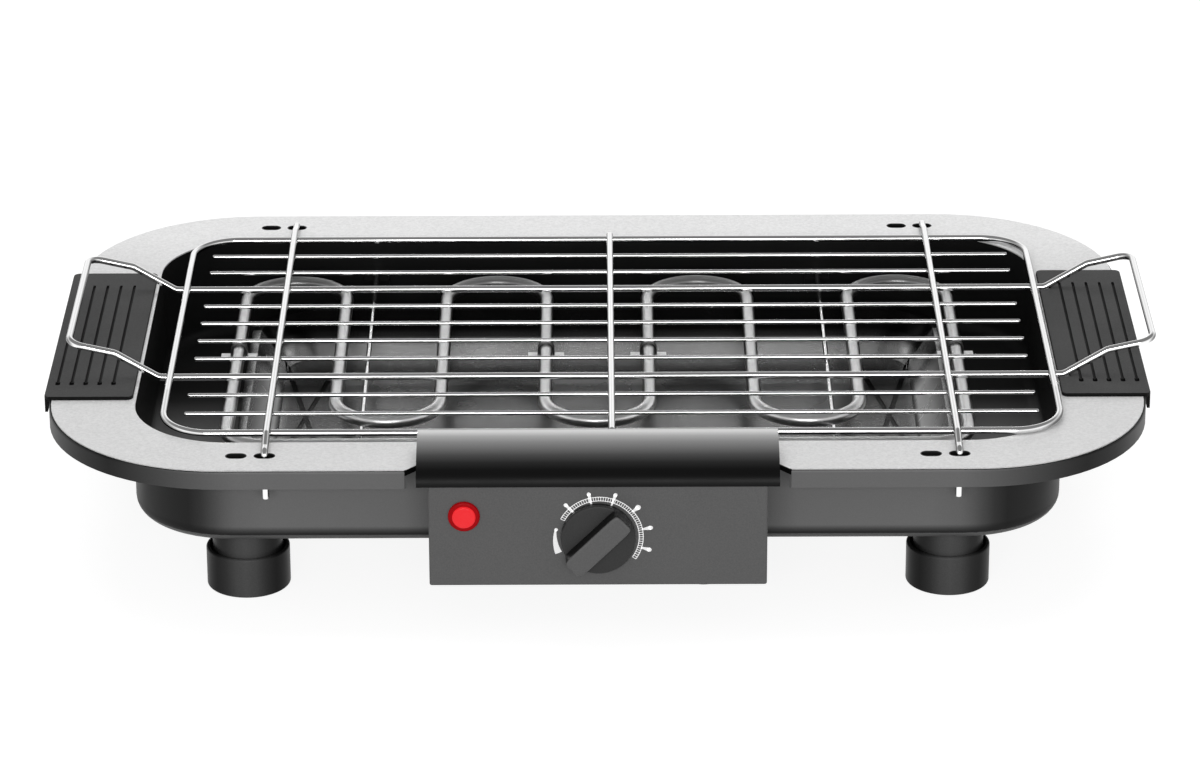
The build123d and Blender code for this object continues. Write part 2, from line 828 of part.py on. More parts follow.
def thermostat_body():
    body = block(-stat_half_x, stat_half_x, stat_front_y, stat_rear_y,
                 knob_z - stat_half_z, knob_z + stat_half_z)
    body = fillet(body.edges().filter_by(Axis.Y), sheet)
    body += along_y(bush_r, 0, knob_z, panel_front_y - bush_reach, stat_front_y)
    body -= along_y(shaft_r + running_fit, 0, knob_z, panel_front_y - overrun, stat_rear_y - overrun)
    for x_sign in SIDES.values():
        x = x_sign * stat_half_x / 2
        half_w, half_t = tab_width / 2, tab_thickness / 2
        body += block(x - half_w, x + half_w, stat_rear_y, stat_rear_y + tab_length,
                      knob_z - half_t, knob_z + half_t)
    return body


def bush_nut():
    profile = RegularPolygon(bush_nut_flats / 2, 6, major_radius=False)
    spot = Pos(0, panel_front_y, knob_z) * Rot(X=90)
    nut = spot * extrude(profile, bush_nut_h)
    return nut - along_y(bush_r, 0, knob_z, panel_front_y - overrun, panel_front_y + overrun)


def d_bar(y0, y1):
    """A D section along Y: a round bar with its side towards the pointer taken off."""
    bar = along_y(shaft_r, 0, knob_z, y0, y1)
    return bar - block(-overrun, overrun, y0, y1, knob_z + shaft_flat, knob_z + overrun)


def turned_to_off(shape):
    """Turn a shape drawn with its pointer up to the off mark at the lower left."""
    return Pos(0, 0, knob_z) * Rot(Y=knob_turn) * Pos(0, 0, -knob_z) * shape


shaft_end_y = knob_front_y + shaft_end_depth
knob_back_y = panel_front_y - knob_gap


def thermostat_shaft():
    neck_y = knob_back_y - knob_back_depth
    shaft = along_y(shaft_r, 0, knob_z, neck_y, stat_rear_y - overrun)
    return turned_to_off(shaft + d_bar(shaft_end_y, neck_y))


def knob():
    skirt_y = knob_back_y - knob_skirt
    skirt = along_y(knob_r, 0, knob_z, skirt_y, knob_back_y)
    skirt = fillet(skirt.edges().filter_by(GeomType.CIRCLE).group_by(Axis.Y)[0], knob_edge_r)
    half = grip_width / 2
    grip = block(-half, half, knob_front_y, skirt_y + knob_edge_r,
                 knob_z - knob_r + knob_edge_r, knob_z + grip_tip)
    grip = fillet(grip.edges().group_by(Axis.Y)[0], grip_edge_r)
    shape = skirt + grip
    shape -= along_y(knob_back_r, 0, knob_z, knob_back_y - knob_back_depth, knob_back_y + overrun)
    return turned_to_off(shape - d_bar(shaft_end_y, knob_back_y))


save(thermostat_body(), "thermostat_body")
save(bush_nut(), "thermostat_nut")
save(thermostat_shaft(), "thermostat_shaft")
save(knob(), "control_knob")


# Indicator lamp
def lamp_bezel():
    ring = along_y(lamp_r, lamp_x, lamp_z, panel_front_y - lamp_ring_h, panel_front_y)
    ring = fillet(ring.edges().filter_by(GeomType.CIRCLE).group_by(Axis.Y)[0], lamp_ring / 2)
    return ring - along_y(lamp_r - lamp_ring, lamp_x, lamp_z, panel_front_y - overrun,
                          panel_front_y + overrun)


def lamp_lens():
    radius = lamp_r - lamp_ring
    lens = along_y(radius, lamp_x, lamp_z, panel_front_y - lamp_dome_h, panel_front_y)
    lens = fillet(lens.edges().filter_by(GeomType.CIRCLE).group_by(Axis.Y)[0], lamp_ring / 2)
    body_end = panel_front_y + lamp_body_length
    return lens + along_y(lamp_body_r, lamp_x, lamp_z, panel_front_y, body_end)


def lamp_clip():
    """The spring washer that holds the lamp from inside."""
    y0 = panel_front_y + sheet
    washer = along_y(lamp_clip_r, lamp_x, lamp_z, y0, y0 + lamp_clip_h)
    return washer - along_y(lamp_body_r, lamp_x, lamp_z, y0 - overrun, y0 + overrun)


save(lamp_bezel(), "lamp_bezel")
save(lamp_lens(), "lamp_lens")
save(lamp_clip(), "lamp_clip")


# Terminal block, safety cut-out and cord gland
block_front_y = back_front_y - block_depth


def terminal_block():
    body = block(block_x - block_half_x, block_x + block_half_x, block_front_y, back_front_y,
                 block_z - block_half_z, block_z + block_half_z)
    for step in (-1, 0, 1):
        x = block_x + step * block_half_x * 2 / 3
        body -= upright(block_hole_r, x, (block_front_y + back_front_y) / 2,
                        block_z + block_half_z - block_hole_r, block_z + block_half_z + overrun)
    return body


def thermal_cutout():
    """A small snap-disc switch on the back plate, with a tab to each side."""
    body = along_y(cutout_r, cutout_x, cutout_z, back_front_y - cutout_depth, back_front_y)
    half_w, half_t = tab_width / 2, tab_thickness / 2
    reach = cutout_r + tab_length
    return body + block(cutout_x - reach, cutout_x + reach, lead_rear_y - half_t,
                        lead_rear_y + half_t, cutout_z - half_w, cutout_z + half_w)


def earth_tag():
    """The ring on the back plate that earths the box."""
    return along_y(earth_tag_r, earth_x, earth_z, back_front_y - sheet, back_front_y)


def cord_gland():
    """The bushing in the floor of the box where the supply cord enters."""
    gland = upright(gland_r, gland_x, gland_y, panel_bottom_z, panel_bottom_z + gland_length)
    gland += upright(gland_flange_r, gland_x, gland_y, panel_bottom_z - gland_flange_h, panel_bottom_z)
    low = panel_bottom_z - gland_flange_h
    gland = fillet(edges_at(gland, low), sheet)
    return gland - upright(gland_bore_r, gland_x, gland_y, low - overrun,
                           panel_bottom_z + gland_length + overrun)


save(terminal_block(), "terminal_block")
save(thermal_cutout(), "thermal_cutout")
save(earth_tag(), "earth_tag")
save(cord_gland(), "cord_gland")


# Leads inside the box
def lead(points):
    """An insulated lead with an even bend at each corner."""
    return round_wire(bent_path(points, [lead_bend_r] * (len(points) - 2)), lead_r)


block_top_z = block_z + block_half_z - block_hole_r + lead_gap
block_mid_y = (block_front_y + back_front_y) / 2
block_step = block_half_x * 2 / 3
tab_front_y = pin_end_y - tab_length - lead_gap
stat_tab_y = stat_rear_y + tab_length + lead_gap
tab_column = stat_half_x / 2
cutout_reach = cutout_r + tab_length + lead_gap

neutral_lead = lead([
    (leg_x, tab_front_y, tube_z),
    (leg_x, lead_front_y, tube_z),
    (leg_x, lead_front_y, lead_high_z),
    (block_x + block_step, block_mid_y, lead_high_z),
    (block_x + block_step, block_mid_y, block_top_z),
])
heater_lead = lead([
    (-leg_x, tab_front_y, tube_z),
    (-leg_x, lead_front_y, tube_z),
    (-leg_x, lead_front_y, cutout_z),
    (-leg_x, lead_rear_y, cutout_z),
    (cutout_x - cutout_reach, lead_rear_y, cutout_z),
])
link_lead = lead([
    (cutout_x + cutout_reach, lead_rear_y, cutout_z),
    (0, lead_rear_y, cutout_z),
    (0, lead_rear_y, knob_z),
    (-tab_column, lead_rear_y, knob_z),
    (-tab_column, stat_tab_y, knob_z),
])
live_lead = lead([
    (tab_column, stat_tab_y, knob_z),
    (tab_column, lead_rear_y, knob_z),
    (tab_column, lead_rear_y, lead_high_z),
    (block_x - block_step, block_mid_y, lead_high_z),
    (block_x - block_step, block_mid_y, block_top_z),
])
earth_lead = lead([
    (block_x, block_mid_y, block_top_z),
    (block_x, block_mid_y, earth_z),
    (earth_x, block_mid_y, earth_z),
    (earth_x, back_front_y - sheet, earth_z),
])
save(neutral_lead, "lead_neutral")
save(heater_lead, "lead_heater")
save(link_lead, "lead_link")
save(live_lead, "lead_live")
save(earth_lead, "lead_earth")


# Grill rack: a wire frame, a long loop that forms both handles, crossbars and thin bars
def rack_frame():
    """The outer wire, whose short sides arch over the handle loop."""
    low, high = wire_z, frame_side_z
    side = [(-rack_half_y, low), (-frame_hump_y, high), (frame_hump_y, high), (rack_half_y, low)]
    points = [(0, -rack_half_y, low)]
    points += [(rack_half_x, y, z) for y, z in side]
    points += [(-rack_half_x, y, z) for y, z in reversed(side)]
    side_radii = [rack_corner_r, frame_hump_r, frame_hump_r, rack_corner_r]
    return round_wire(bent_path(points, side_radii * 2, closed=True), wire_r)


def handle_loop():
    side = [(handle_kink_x, wire_z), (handle_knee_x, handle_knee_z), (handle_end_x, handle_end_z)]
    points = [(0, -loop_y, wire_z)]
    points += [(x, -loop_y, z) for x, z in side]
    points += [(x, loop_y, z) for x, z in reversed(side)]
    points += [(-x, loop_y, z) for x, z in side]
    points += [(-x, -loop_y, z) for x, z in reversed(side)]
    half_radii = [handle_kink_r, handle_kink_r, handle_corner_r]
    radii = (half_radii + half_radii[::-1]) * 2
    return round_wire(bent_path(points, radii, closed=True), wire_r)


def long_crossbar(x):
    """A crossbar that steps down to the rim past the frame and turns down into the slots."""
    half = [(joggle_inner_y, crossbar_z), (joggle_outer_y, wire_z), (slot_y, wire_z), (slot_y, leg_tip_z)]
    points = [(x, -y, z) for y, z in reversed(half)]
    points += [(x, y, z) for y, z in half]
    half_radii = [leg_bend_r, joggle_r, joggle_r]
    return round_wire(bent_path(points, half_radii + half_radii[::-1]), wire_r)


frame = rack_frame()
loop = handle_loop()
crossbars = {"left": long_crossbar(-slot_pair_x), "right": long_crossbar(slot_pair_x)}
centre_reach = rack_half_y + wire_r
crossbars["centre"] = along_y(wire_r, 0, crossbar_z, -centre_reach, centre_reach)

bars = []
for step in bar_steps:
    bars.append(along_x(thin_r, -bar_half_length, bar_half_length, step * bar_pitch, thin_z))

# The wires sink into each other at their spot welds
frame -= loop
on_rim = Pos(rack_shift, 0, 0)
for place, crossbar in crossbars.items():
    crossbar -= frame
    crossbar -= loop
    for bar in bars:
        crossbar -= bar
    save(on_rim * crossbar, f"rack_crossbar_{place}")
save(on_rim * frame, "rack_frame")
save(on_rim * loop, "rack_handle_loop")
save(on_rim * group(bars), "rack_thin_bars")
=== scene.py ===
# %% [markdown]
# An electric table grill, dressed over its imported model. The solids already have their real sizes and
# joints, so what follows gives each of them a finish, redraws some with a smoother surface, and adds the
# dial's print and two kinds of near-black strips that give painted shade at the slots and the notch. The
# frame is loaded first and nothing in it is moved.

import json
import math

import bpy
import numpy as np
from mathutils import Matrix, Vector

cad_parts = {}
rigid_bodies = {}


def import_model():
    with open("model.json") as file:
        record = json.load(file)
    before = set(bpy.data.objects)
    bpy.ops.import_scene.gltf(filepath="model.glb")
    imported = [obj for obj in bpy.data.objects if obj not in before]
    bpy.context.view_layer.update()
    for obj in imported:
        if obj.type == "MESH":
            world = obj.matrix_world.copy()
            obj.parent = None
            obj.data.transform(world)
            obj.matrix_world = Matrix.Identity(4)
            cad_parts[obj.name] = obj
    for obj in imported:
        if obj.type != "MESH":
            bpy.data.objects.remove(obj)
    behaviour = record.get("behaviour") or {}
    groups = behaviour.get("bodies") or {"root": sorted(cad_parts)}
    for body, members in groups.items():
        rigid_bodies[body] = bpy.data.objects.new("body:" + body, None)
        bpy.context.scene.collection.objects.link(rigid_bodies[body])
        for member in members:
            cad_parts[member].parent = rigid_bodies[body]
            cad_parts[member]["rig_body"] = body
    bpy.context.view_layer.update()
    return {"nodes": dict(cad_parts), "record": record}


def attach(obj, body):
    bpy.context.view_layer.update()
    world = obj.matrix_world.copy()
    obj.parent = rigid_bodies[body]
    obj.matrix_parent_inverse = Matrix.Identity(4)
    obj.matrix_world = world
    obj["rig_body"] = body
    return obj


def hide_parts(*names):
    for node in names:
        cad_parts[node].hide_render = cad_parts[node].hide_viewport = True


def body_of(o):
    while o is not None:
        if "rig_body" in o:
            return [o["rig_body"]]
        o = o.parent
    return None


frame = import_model()
nodes = frame["nodes"]
MM = 0.001
# The rim's middle in metres: the frame's origin lies in the middle of the whole footprint
RIM_X, RIM_Y, RIM_Z = -0.00225, 0.00915, 0.078
# In millimetres from the rim's middle: the slot pairs and the slot rows. SHIFT is how far each slot stands
# from the middle of its pair, and so how far the rack stands to the right of the rim's middle.
PAIR_X, SLOT_Y, SHIFT = 154.6, 139.5, 6.35
print("loaded", len(nodes), "solids")

# %% [markdown]
# The camera stands more than two metres in front with a long lens, looking down at about 23 degrees.
# A long lens keeps the rim's sides nearly parallel. The part's own frame is the world's frame, so the
# place is written in metres from the middle of the footprint.

# %% Camera
LENS = 153.0
SENSOR = 36.0
CLIP_NEAR, CLIP_FAR = 0.1, 50.0
CAMERA_PLACE = (-0.00372, -2.20454, 0.995)
LOOK_DOWN = 23.135
YAW = -0.07
ROLL = -0.18
camera_data = bpy.data.cameras.new("camera")
camera_data.lens = LENS
camera_data.sensor_width = SENSOR
camera_data.clip_start = CLIP_NEAR
camera_data.clip_end = CLIP_FAR
camera = bpy.data.objects.new("camera", camera_data)
bpy.context.scene.collection.objects.link(camera)
turn = (
    Matrix.Rotation(math.radians(YAW), 4, "Z")
    @ Matrix.Rotation(math.radians(90 - LOOK_DOWN), 4, "X")
    @ Matrix.Rotation(math.radians(ROLL), 4, "Z")
)
camera.matrix_world = Matrix.Translation(CAMERA_PLACE) @ turn
bpy.context.scene.camera = camera
bpy.context.scene.view_settings.view_transform = "Standard"

# %% [markdown]
# A product picture on white: a wide soft light overhead and behind, and a wide one in front that lights the
# control panel and gives the rack's bars their white cores. Camera and mirror rays see a surround that is
# white round the horizon and grey overhead, which gives the round wires their bright and dark bands. The
# light that falls on the grill from the surround is weaker, so dark enamel stays dark.


# %% Lights, surround and floor
def grey(value):
    """The same value for red, green and blue."""
    return (value, value, value)


def operate(tree, operation, first, second=0):
    """One math node whose operands are sockets or numbers."""
    made = tree.nodes.new("ShaderNodeMath")
    made.operation = operation
    for index, value in enumerate((first, second)):
        if isinstance(value, (int, float)):
            made.inputs[index].default_value = value
        else:
            tree.links.new(value, made.inputs[index])
    return made.outputs[0]


def area_light(name, place, aim, size, watts):
    """A rectangular soft light at one place, turned to look at another."""
    data = bpy.data.lights.new(name, "AREA")
    data.shape = "RECTANGLE"
    data.size, data.size_y = size
    data.energy = watts
    lamp = bpy.data.objects.new(name, data)
    bpy.context.scene.collection.objects.link(lamp)
    facing = (Vector(aim) - Vector(place)).to_track_quat("-Z", "Y").to_matrix().to_4x4()
    lamp.matrix_world = Matrix.Translation(place) @ facing
    return lamp


overhead = area_light(
    "overhead", place=(0.0, 0.45, 1.5), aim=(0.0, 0.0, 0.1), size=(1.8, 1.2), watts=13.0,
)
overhead.visible_glossy = False
area_light("front_fill", place=(-0.06, -1.9, 0.7), aim=(0.0, 0.0, 0.05), size=(1.15, 0.45), watts=12.0)


def seen_directly(tree):
    """A value of 1 for camera, mirror and clear rays, and 0 for the rays that carry soft light."""
    path = tree.nodes.new("ShaderNodeLightPath")
    sharp = operate(tree, "MAXIMUM", path.outputs["Is Camera Ray"], path.outputs["Is Glossy Ray"])
    return operate(tree, "MAXIMUM", sharp, path.outputs["Is Transmission Ray"])


def choose_by_ray(tree, soft_rays, direct_rays, end):
    """Gives an output node one shader for soft light and another for the rays that are seen directly."""
    choose = tree.nodes.new("ShaderNodeMixShader")
    out = tree.nodes.new(end)
    tree.links.new(seen_directly(tree), choose.inputs[0])
    tree.links.new(soft_rays.outputs[0], choose.inputs[1])
    tree.links.new(direct_rays.outputs[0], choose.inputs[2])
    tree.links.new(choose.outputs[0], out.inputs[0])


HORIZON_TOP = 0.34
OVERHEAD_FROM = 0.64
OVERHEAD_GREY = 0.2
SOFT_GREY = 0.4
world = bpy.data.worlds.new("white_surround")
bpy.context.scene.world = world
world.use_nodes = True
tree = world.node_tree
tree.nodes.clear()
surround = tree.nodes.new("ShaderNodeBackground")
direction = tree.nodes.new("ShaderNodeTexCoord")
height = tree.nodes.new("ShaderNodeSeparateXYZ")
shade = tree.nodes.new("ShaderNodeValToRGB")
shade.color_ramp.elements[0].position = HORIZON_TOP
shade.color_ramp.elements[0].color = (1, 1, 1, 1)
shade.color_ramp.elements[1].position = OVERHEAD_FROM
shade.color_ramp.elements[1].color = (*grey(OVERHEAD_GREY), 1)
tree.links.new(direction.outputs["Generated"], height.inputs[0])
tree.links.new(height.outputs["Z"], shade.inputs[0])
tree.links.new(shade.outputs[0], surround.inputs["Color"])
soft = tree.nodes.new("ShaderNodeBackground")
soft.inputs["Color"].default_value = (*grey(SOFT_GREY), 1)
choose_by_ray(tree, soft, surround, "ShaderNodeOutputWorld")

FLOOR_REACH = 6.0
FLOOR_GAP = 0.0002
PAPER_GREY = 0.3
PAPER_GLOW = 0.88
floor_mesh = bpy.data.meshes.new("floor")
corners = np.array([(-1, -1), (1, -1), (1, 1), (-1, 1)]) * FLOOR_REACH
floor_mesh.from_pydata([(x, y, -FLOOR_GAP) for x, y in corners], [], [(0, 1, 2, 3)])
floor = bpy.data.objects.new("floor", floor_mesh)
bpy.context.scene.collection.objects.link(floor)
paper = bpy.data.materials.new("white_paper")
paper.use_nodes = True
tree = paper.node_tree
tree.nodes.clear()
matt = tree.nodes.new("ShaderNodeBsdfDiffuse")
matt.inputs["Color"].default_value = (*grey(PAPER_GREY), 1)
glow = tree.nodes.new("ShaderNodeEmission")
glow.inputs["Strength"].default_value = PAPER_GLOW
glowing = tree.nodes.new("ShaderNodeAddShader")
tree.links.new(matt.outputs[0], glowing.inputs[0])
tree.links.new(glow.outputs[0], glowing.inputs[1])
choose_by_ray(tree, matt, glowing, "ShaderNodeOutputMaterial")
floor_mesh.materials.append(paper)

# %% [markdown]
# Finishes. Most of the grill is one of three things: sheet metal with a fine even grain, smooth drawn or
# plated metal, and moulded plastic. Two node groups give them their life. The grain group turns noise into
# a small bump and a faint mottle, and the wipe group gives the broad uneven gloss of a handled surface.


# %% Node groups for grain and wiping
NOISE_LOW, NOISE_HIGH = 0.3, 0.7


def new_group(name, inputs, outputs):
    """An empty node group with named sockets, with its input and output nodes."""
    group = bpy.data.node_groups.new(name, "ShaderNodeTree")
    for socket, kind, value in inputs:
        made = group.interface.new_socket(socket, in_out="INPUT", socket_type=kind)
        made.default_value = value
    for socket, kind in outputs:
        group.interface.new_socket(socket, in_out="OUTPUT", socket_type=kind)
    return group, group.nodes.new("NodeGroupInput"), group.nodes.new("NodeGroupOutput")


def spread_noise(group, detail):
    """A noise node and a node that spreads its usual values over 0 to 1."""
    noise = group.nodes.new("ShaderNodeTexNoise")
    noise.inputs["Detail"].default_value = detail
    spread = group.nodes.new("ShaderNodeMapRange")
    spread.inputs["From Min"].default_value = NOISE_LOW
    spread.inputs["From Max"].default_value = NOISE_HIGH
    group.links.new(noise.outputs["Fac"], spread.inputs["Value"])
    return noise, spread


def grain_group():
    """Fine grain: noise of a stated size along X, Y and Z gives a height and a mottled colour."""
    group, start, end = new_group(
        "fine_grain",
        [
            ("Size", "NodeSocketVector", (1000, 1000, 1000)),
            ("Dark", "NodeSocketColor", (0.1, 0.1, 0.1, 1)),
            ("Light", "NodeSocketColor", (0.12, 0.12, 0.12, 1)),
            ("Sharpness", "NodeSocketFloat", 0.5),
        ],
        [("Color", "NodeSocketColor"), ("Height", "NodeSocketFloat")],
    )
    place = group.nodes.new("ShaderNodeTexCoord")
    scale = group.nodes.new("ShaderNodeVectorMath")
    scale.operation = "MULTIPLY"
    noise, spread = spread_noise(group, 3.0)
    noise.inputs["Scale"].default_value = 1.0
    mix = group.nodes.new("ShaderNodeMix")
    mix.data_type = "RGBA"
    link = group.links.new
    link(place.outputs["Object"], scale.inputs[0])
    link(start.outputs["Size"], scale.inputs[1])
    link(scale.outputs[0], noise.inputs["Vector"])
    link(start.outputs["Sharpness"], noise.inputs["Roughness"])
    link(spread.outputs["Result"], mix.inputs["Factor"])
    link(start.outputs["Dark"], mix.inputs["A"])
    link(start.outputs["Light"], mix.inputs["B"])
    link(mix.outputs["Result"], end.inputs["Color"])
    link(spread.outputs["Result"], end.inputs["Height"])
    return group


def wipe_group():
    """Handled gloss: broad noise moves the roughness between two values."""
    group, start, end = new_group(
        "wiped_gloss",
        [
            ("Size", "NodeSocketFloat", 30.0),
            ("Smooth", "NodeSocketFloat", 0.3),
            ("Rough", "NodeSocketFloat", 0.4),
        ],
        [("Roughness", "NodeSocketFloat")],
    )
    place = group.nodes.new("ShaderNodeTexCoord")
    noise, spread = spread_noise(group, 4.0)
    link = group.links.new
    link(place.outputs["Object"], noise.inputs["Vector"])
    link(start.outputs["Size"], noise.inputs["Scale"])
    link(start.outputs["Smooth"], spread.inputs["To Min"])
    link(start.outputs["Rough"], spread.inputs["To Max"])
    link(spread.outputs["Result"], end.inputs["Roughness"])
    return group


GRAIN = grain_group()
WIPE = wipe_group()
print("node groups", GRAIN.name, WIPE.name)

# %% [markdown]
# Every finish is one Principled shader fed by the two groups. Where the photograph shows broad light and
# shade on a piece, a pattern of greys is multiplied into its colour. The patterns are laid out from the
# rim's middle, and they mirror left and right, because the grill does.

# %% Finishes
WIPE_SIZE = 30.0
BUMP_DEPTH = 0.00005


def finish(name, dark, light, smooth, rough, grain=1500.0, bump=0.05, metallic=0.0, sharpness=0.5,
           specular=0.5, emission=None):
    """A material: grain sets the colour and the bump, wiping sets the gloss, the rest is constant."""
    made = bpy.data.materials.new(name)
    made.use_nodes = True
    tree = made.node_tree
    shader = tree.nodes["Principled BSDF"]
    shader.inputs["Metallic"].default_value = metallic
    shader.inputs["Specular IOR Level"].default_value = specular
    grained = tree.nodes.new("ShaderNodeGroup")
    grained.node_tree = GRAIN
    grained.inputs["Size"].default_value = grain if isinstance(grain, tuple) else (grain,) * 3
    grained.inputs["Dark"].default_value = (*dark, 1)
    grained.inputs["Light"].default_value = (*light, 1)
    grained.inputs["Sharpness"].default_value = sharpness
    wiped = tree.nodes.new("ShaderNodeGroup")
    wiped.node_tree = WIPE
    wiped.inputs["Size"].default_value = WIPE_SIZE
    wiped.inputs["Smooth"].default_value = smooth
    wiped.inputs["Rough"].default_value = rough
    tree.links.new(grained.outputs["Color"], shader.inputs["Base Color"])
    tree.links.new(wiped.outputs["Roughness"], shader.inputs["Roughness"])
    if bump:
        raised = tree.nodes.new("ShaderNodeBump")
        raised.inputs["Strength"].default_value = bump
        raised.inputs["Distance"].default_value = BUMP_DEPTH
        tree.links.new(grained.outputs["Height"], raised.inputs["Height"])
        tree.links.new(raised.outputs["Normal"], shader.inputs["Normal"])
    if emission:
        shader.inputs["Emission Color"].default_value = (*emission[0], 1)
        shader.inputs["Emission Strength"].default_value = emission[1]
    return made


def ramp(tree, value, low, high, stops):
    """Greys at stated places between two limits of a value."""
    spread = tree.nodes.new("ShaderNodeMapRange")
    spread.inputs["From Min"].default_value = low
    spread.inputs["From Max"].default_value = high
    tree.links.new(value, spread.inputs["Value"])
    made = tree.nodes.new("ShaderNodeValToRGB")
    elements = made.color_ramp.elements
    while len(elements) < len(stops):
        elements.new(0.5)
    for element, (place, level) in zip(elements, stops):
        element.position = (place - low) / (high - low)
        element.color = (*grey(level), 1)
    tree.links.new(spread.outputs["Result"], made.inputs[0])
    return made.outputs["Color"]


def blend(tree, factor, first, second, kind="MIX"):
    """A colour mix of two sockets or greys, steered by a socket or a number."""
    made = tree.nodes.new("ShaderNodeMix")
    made.data_type = "RGBA"
    made.blend_type = kind
    colours = [socket for socket in made.inputs if socket.type == "RGBA"]
    if isinstance(factor, (int, float)):
        made.inputs["Factor"].default_value = factor
    else:
        tree.links.new(factor, made.inputs["Factor"])
    for socket, value in zip(colours, (first, second)):
        if isinstance(value, (int, float)):
            socket.default_value = (*grey(value), 1)
        else:
            tree.links.new(value, socket)
    return [socket for socket in made.outputs if socket.type == "RGBA"][0]


def distance_from(tree, value, place):
    """How far a value lies from a place, on either side."""
    return operate(tree, "ABSOLUTE", operate(tree, "SUBTRACT", value, place))


def rim_coordinates(tree):
    """The distance x from the rim's middle plane, and y and z from its middle, from Object coordinates."""
    place = tree.nodes.new("ShaderNodeTexCoord")
    split = tree.nodes.new("ShaderNodeSeparateXYZ")
    tree.links.new(place.outputs["Object"], split.inputs[0])
    x = distance_from(tree, split.outputs["X"], RIM_X)
    y = operate(tree, "SUBTRACT", split.outputs["Y"], RIM_Y)
    z = operate(tree, "SUBTRACT", split.outputs["Z"], RIM_Z)
    return x, y, z


def outline_distance(tree, x, y, half_x, half_y, corner):
    """Distance outwards from a rounded rectangle: length of max((x, |y|) - (a - r, b - r), 0), less r."""
    past_x = operate(tree, "MAXIMUM", operate(tree, "SUBTRACT", x, half_x - corner))
    deep = operate(tree, "ABSOLUTE", y)
    past_y = operate(tree, "MAXIMUM", operate(tree, "SUBTRACT", deep, half_y - corner))
    squares = operate(tree, "ADD", operate(tree, "POWER", past_x, 2), operate(tree, "POWER", past_y, 2))
    return operate(tree, "SUBTRACT", operate(tree, "SQRT", squares), corner)


def tint(made, zones):
    """Multiplies a finish's own mottled colour by a pattern of greys."""
    tree = made.node_tree
    shader = tree.nodes["Principled BSDF"]
    grained = shader.inputs["Base Color"].links[0].from_socket
    tree.links.new(blend(tree, 1.0, zones, grained, "MULTIPLY"), shader.inputs["Base Color"])
    return made


# Half length, half width and corner radius of an outline in metres
RIM_OUTLINE = (0.25, 0.1563, 0.082)
OPENING_OUTLINE = (0.2109, 0.1251, 0.0454)
SLOT_OUTLINE = (0.0048, 0.0031, 0.0031)
# Depths and faces where the tub's painted shade changes, and the near-black greys of that painted shade
FLANGE_DEPTH = -0.0091
SKIRT_WALL = -0.0005
SHOULDER_X, SHOULDER_Y, SHOULDER_Z = 0.09, -0.14, -0.0024
SHADE_BLACK, EDGE_SHADE = 0.01, 0.004


def shade_tub(made):
    """Painted light and shade: grey sheen on the flat outer walls, dark corners and lower edge, black
    inside but for a lit floor.
    """
    tree = made.node_tree
    x, y, z = rim_coordinates(tree)
    wall = ramp(tree, x, 0.0, 0.25, [
        (0.0, 0.24), (0.15, 0.235), (0.163, 0.205), (0.168, 0.16), (0.173, 0.1), (0.1785, 0.045),
        (0.1845, 0.014), (0.205, 0.013), (0.215, 0.055),
    ])
    skirt = ramp(tree, x, 0.0, 0.25, [
        (0.0, 0.2), (0.16, 0.2), (0.192, 0.09), (0.218, 0.008), (0.232, 0.02), (0.246, 0.06),
    ])
    under = ramp(tree, z, -0.05, -0.035, [(-0.05, 0.02), (-0.0447, 0.07), (-0.0429, 0.4), (-0.041, 1.0)])
    in_flange = operate(tree, "GREATER_THAN", z, FLANGE_DEPTH)
    on_skirt = operate(tree, "GREATER_THAN", outline_distance(tree, x, y, *RIM_OUTLINE), SKIRT_WALL)
    near_middle = operate(tree, "LESS_THAN", x, SHOULDER_X)
    shoulder = operate(tree, "MULTIPLY", near_middle, operate(tree, "LESS_THAN", y, SHOULDER_Y))
    shoulder = operate(tree, "MULTIPLY", shoulder, operate(tree, "LESS_THAN", z, SHOULDER_Z))
    edge = blend(tree, operate(tree, "MAXIMUM", on_skirt, shoulder), EDGE_SHADE, skirt)
    outside = blend(tree, 1.0, blend(tree, in_flange, wall, edge), under, "MULTIPLY")
    inside = operate(tree, "LESS_THAN", outline_distance(tree, x, y, *OPENING_OUTLINE), 0)
    lit_floor = ramp(tree, y, -0.03, 0.06, [
        (-0.03, 0.16), (-0.01, 0.15), (0.008, 0.1), (0.035, 0.02), (0.05, SHADE_BLACK),
    ])
    on_floor = ramp(tree, z, -0.05, -0.04, [
        (-0.05, 0.0), (-0.0489, 0.0), (-0.0487, 1.0), (-0.046, 1.0), (-0.041, 0.0),
    ])
    return tint(made, blend(tree, inside, outside, blend(tree, on_floor, SHADE_BLACK, lit_floor)))


# Where the pan's creases and rear slope get painted shade; PATCH_DULLNESS makes the painted highlight
# patches less metallic
CREASE_X, CREASE_SLOPE, CREASE_HALF_WIDTH, CREASE_END = 0.138, 12 / 62, 0.0013, 0.062
REAR_SLOPE_Y, REAR_BLACK = 0.06, 0.007
PATCH_DULLNESS = 0.8


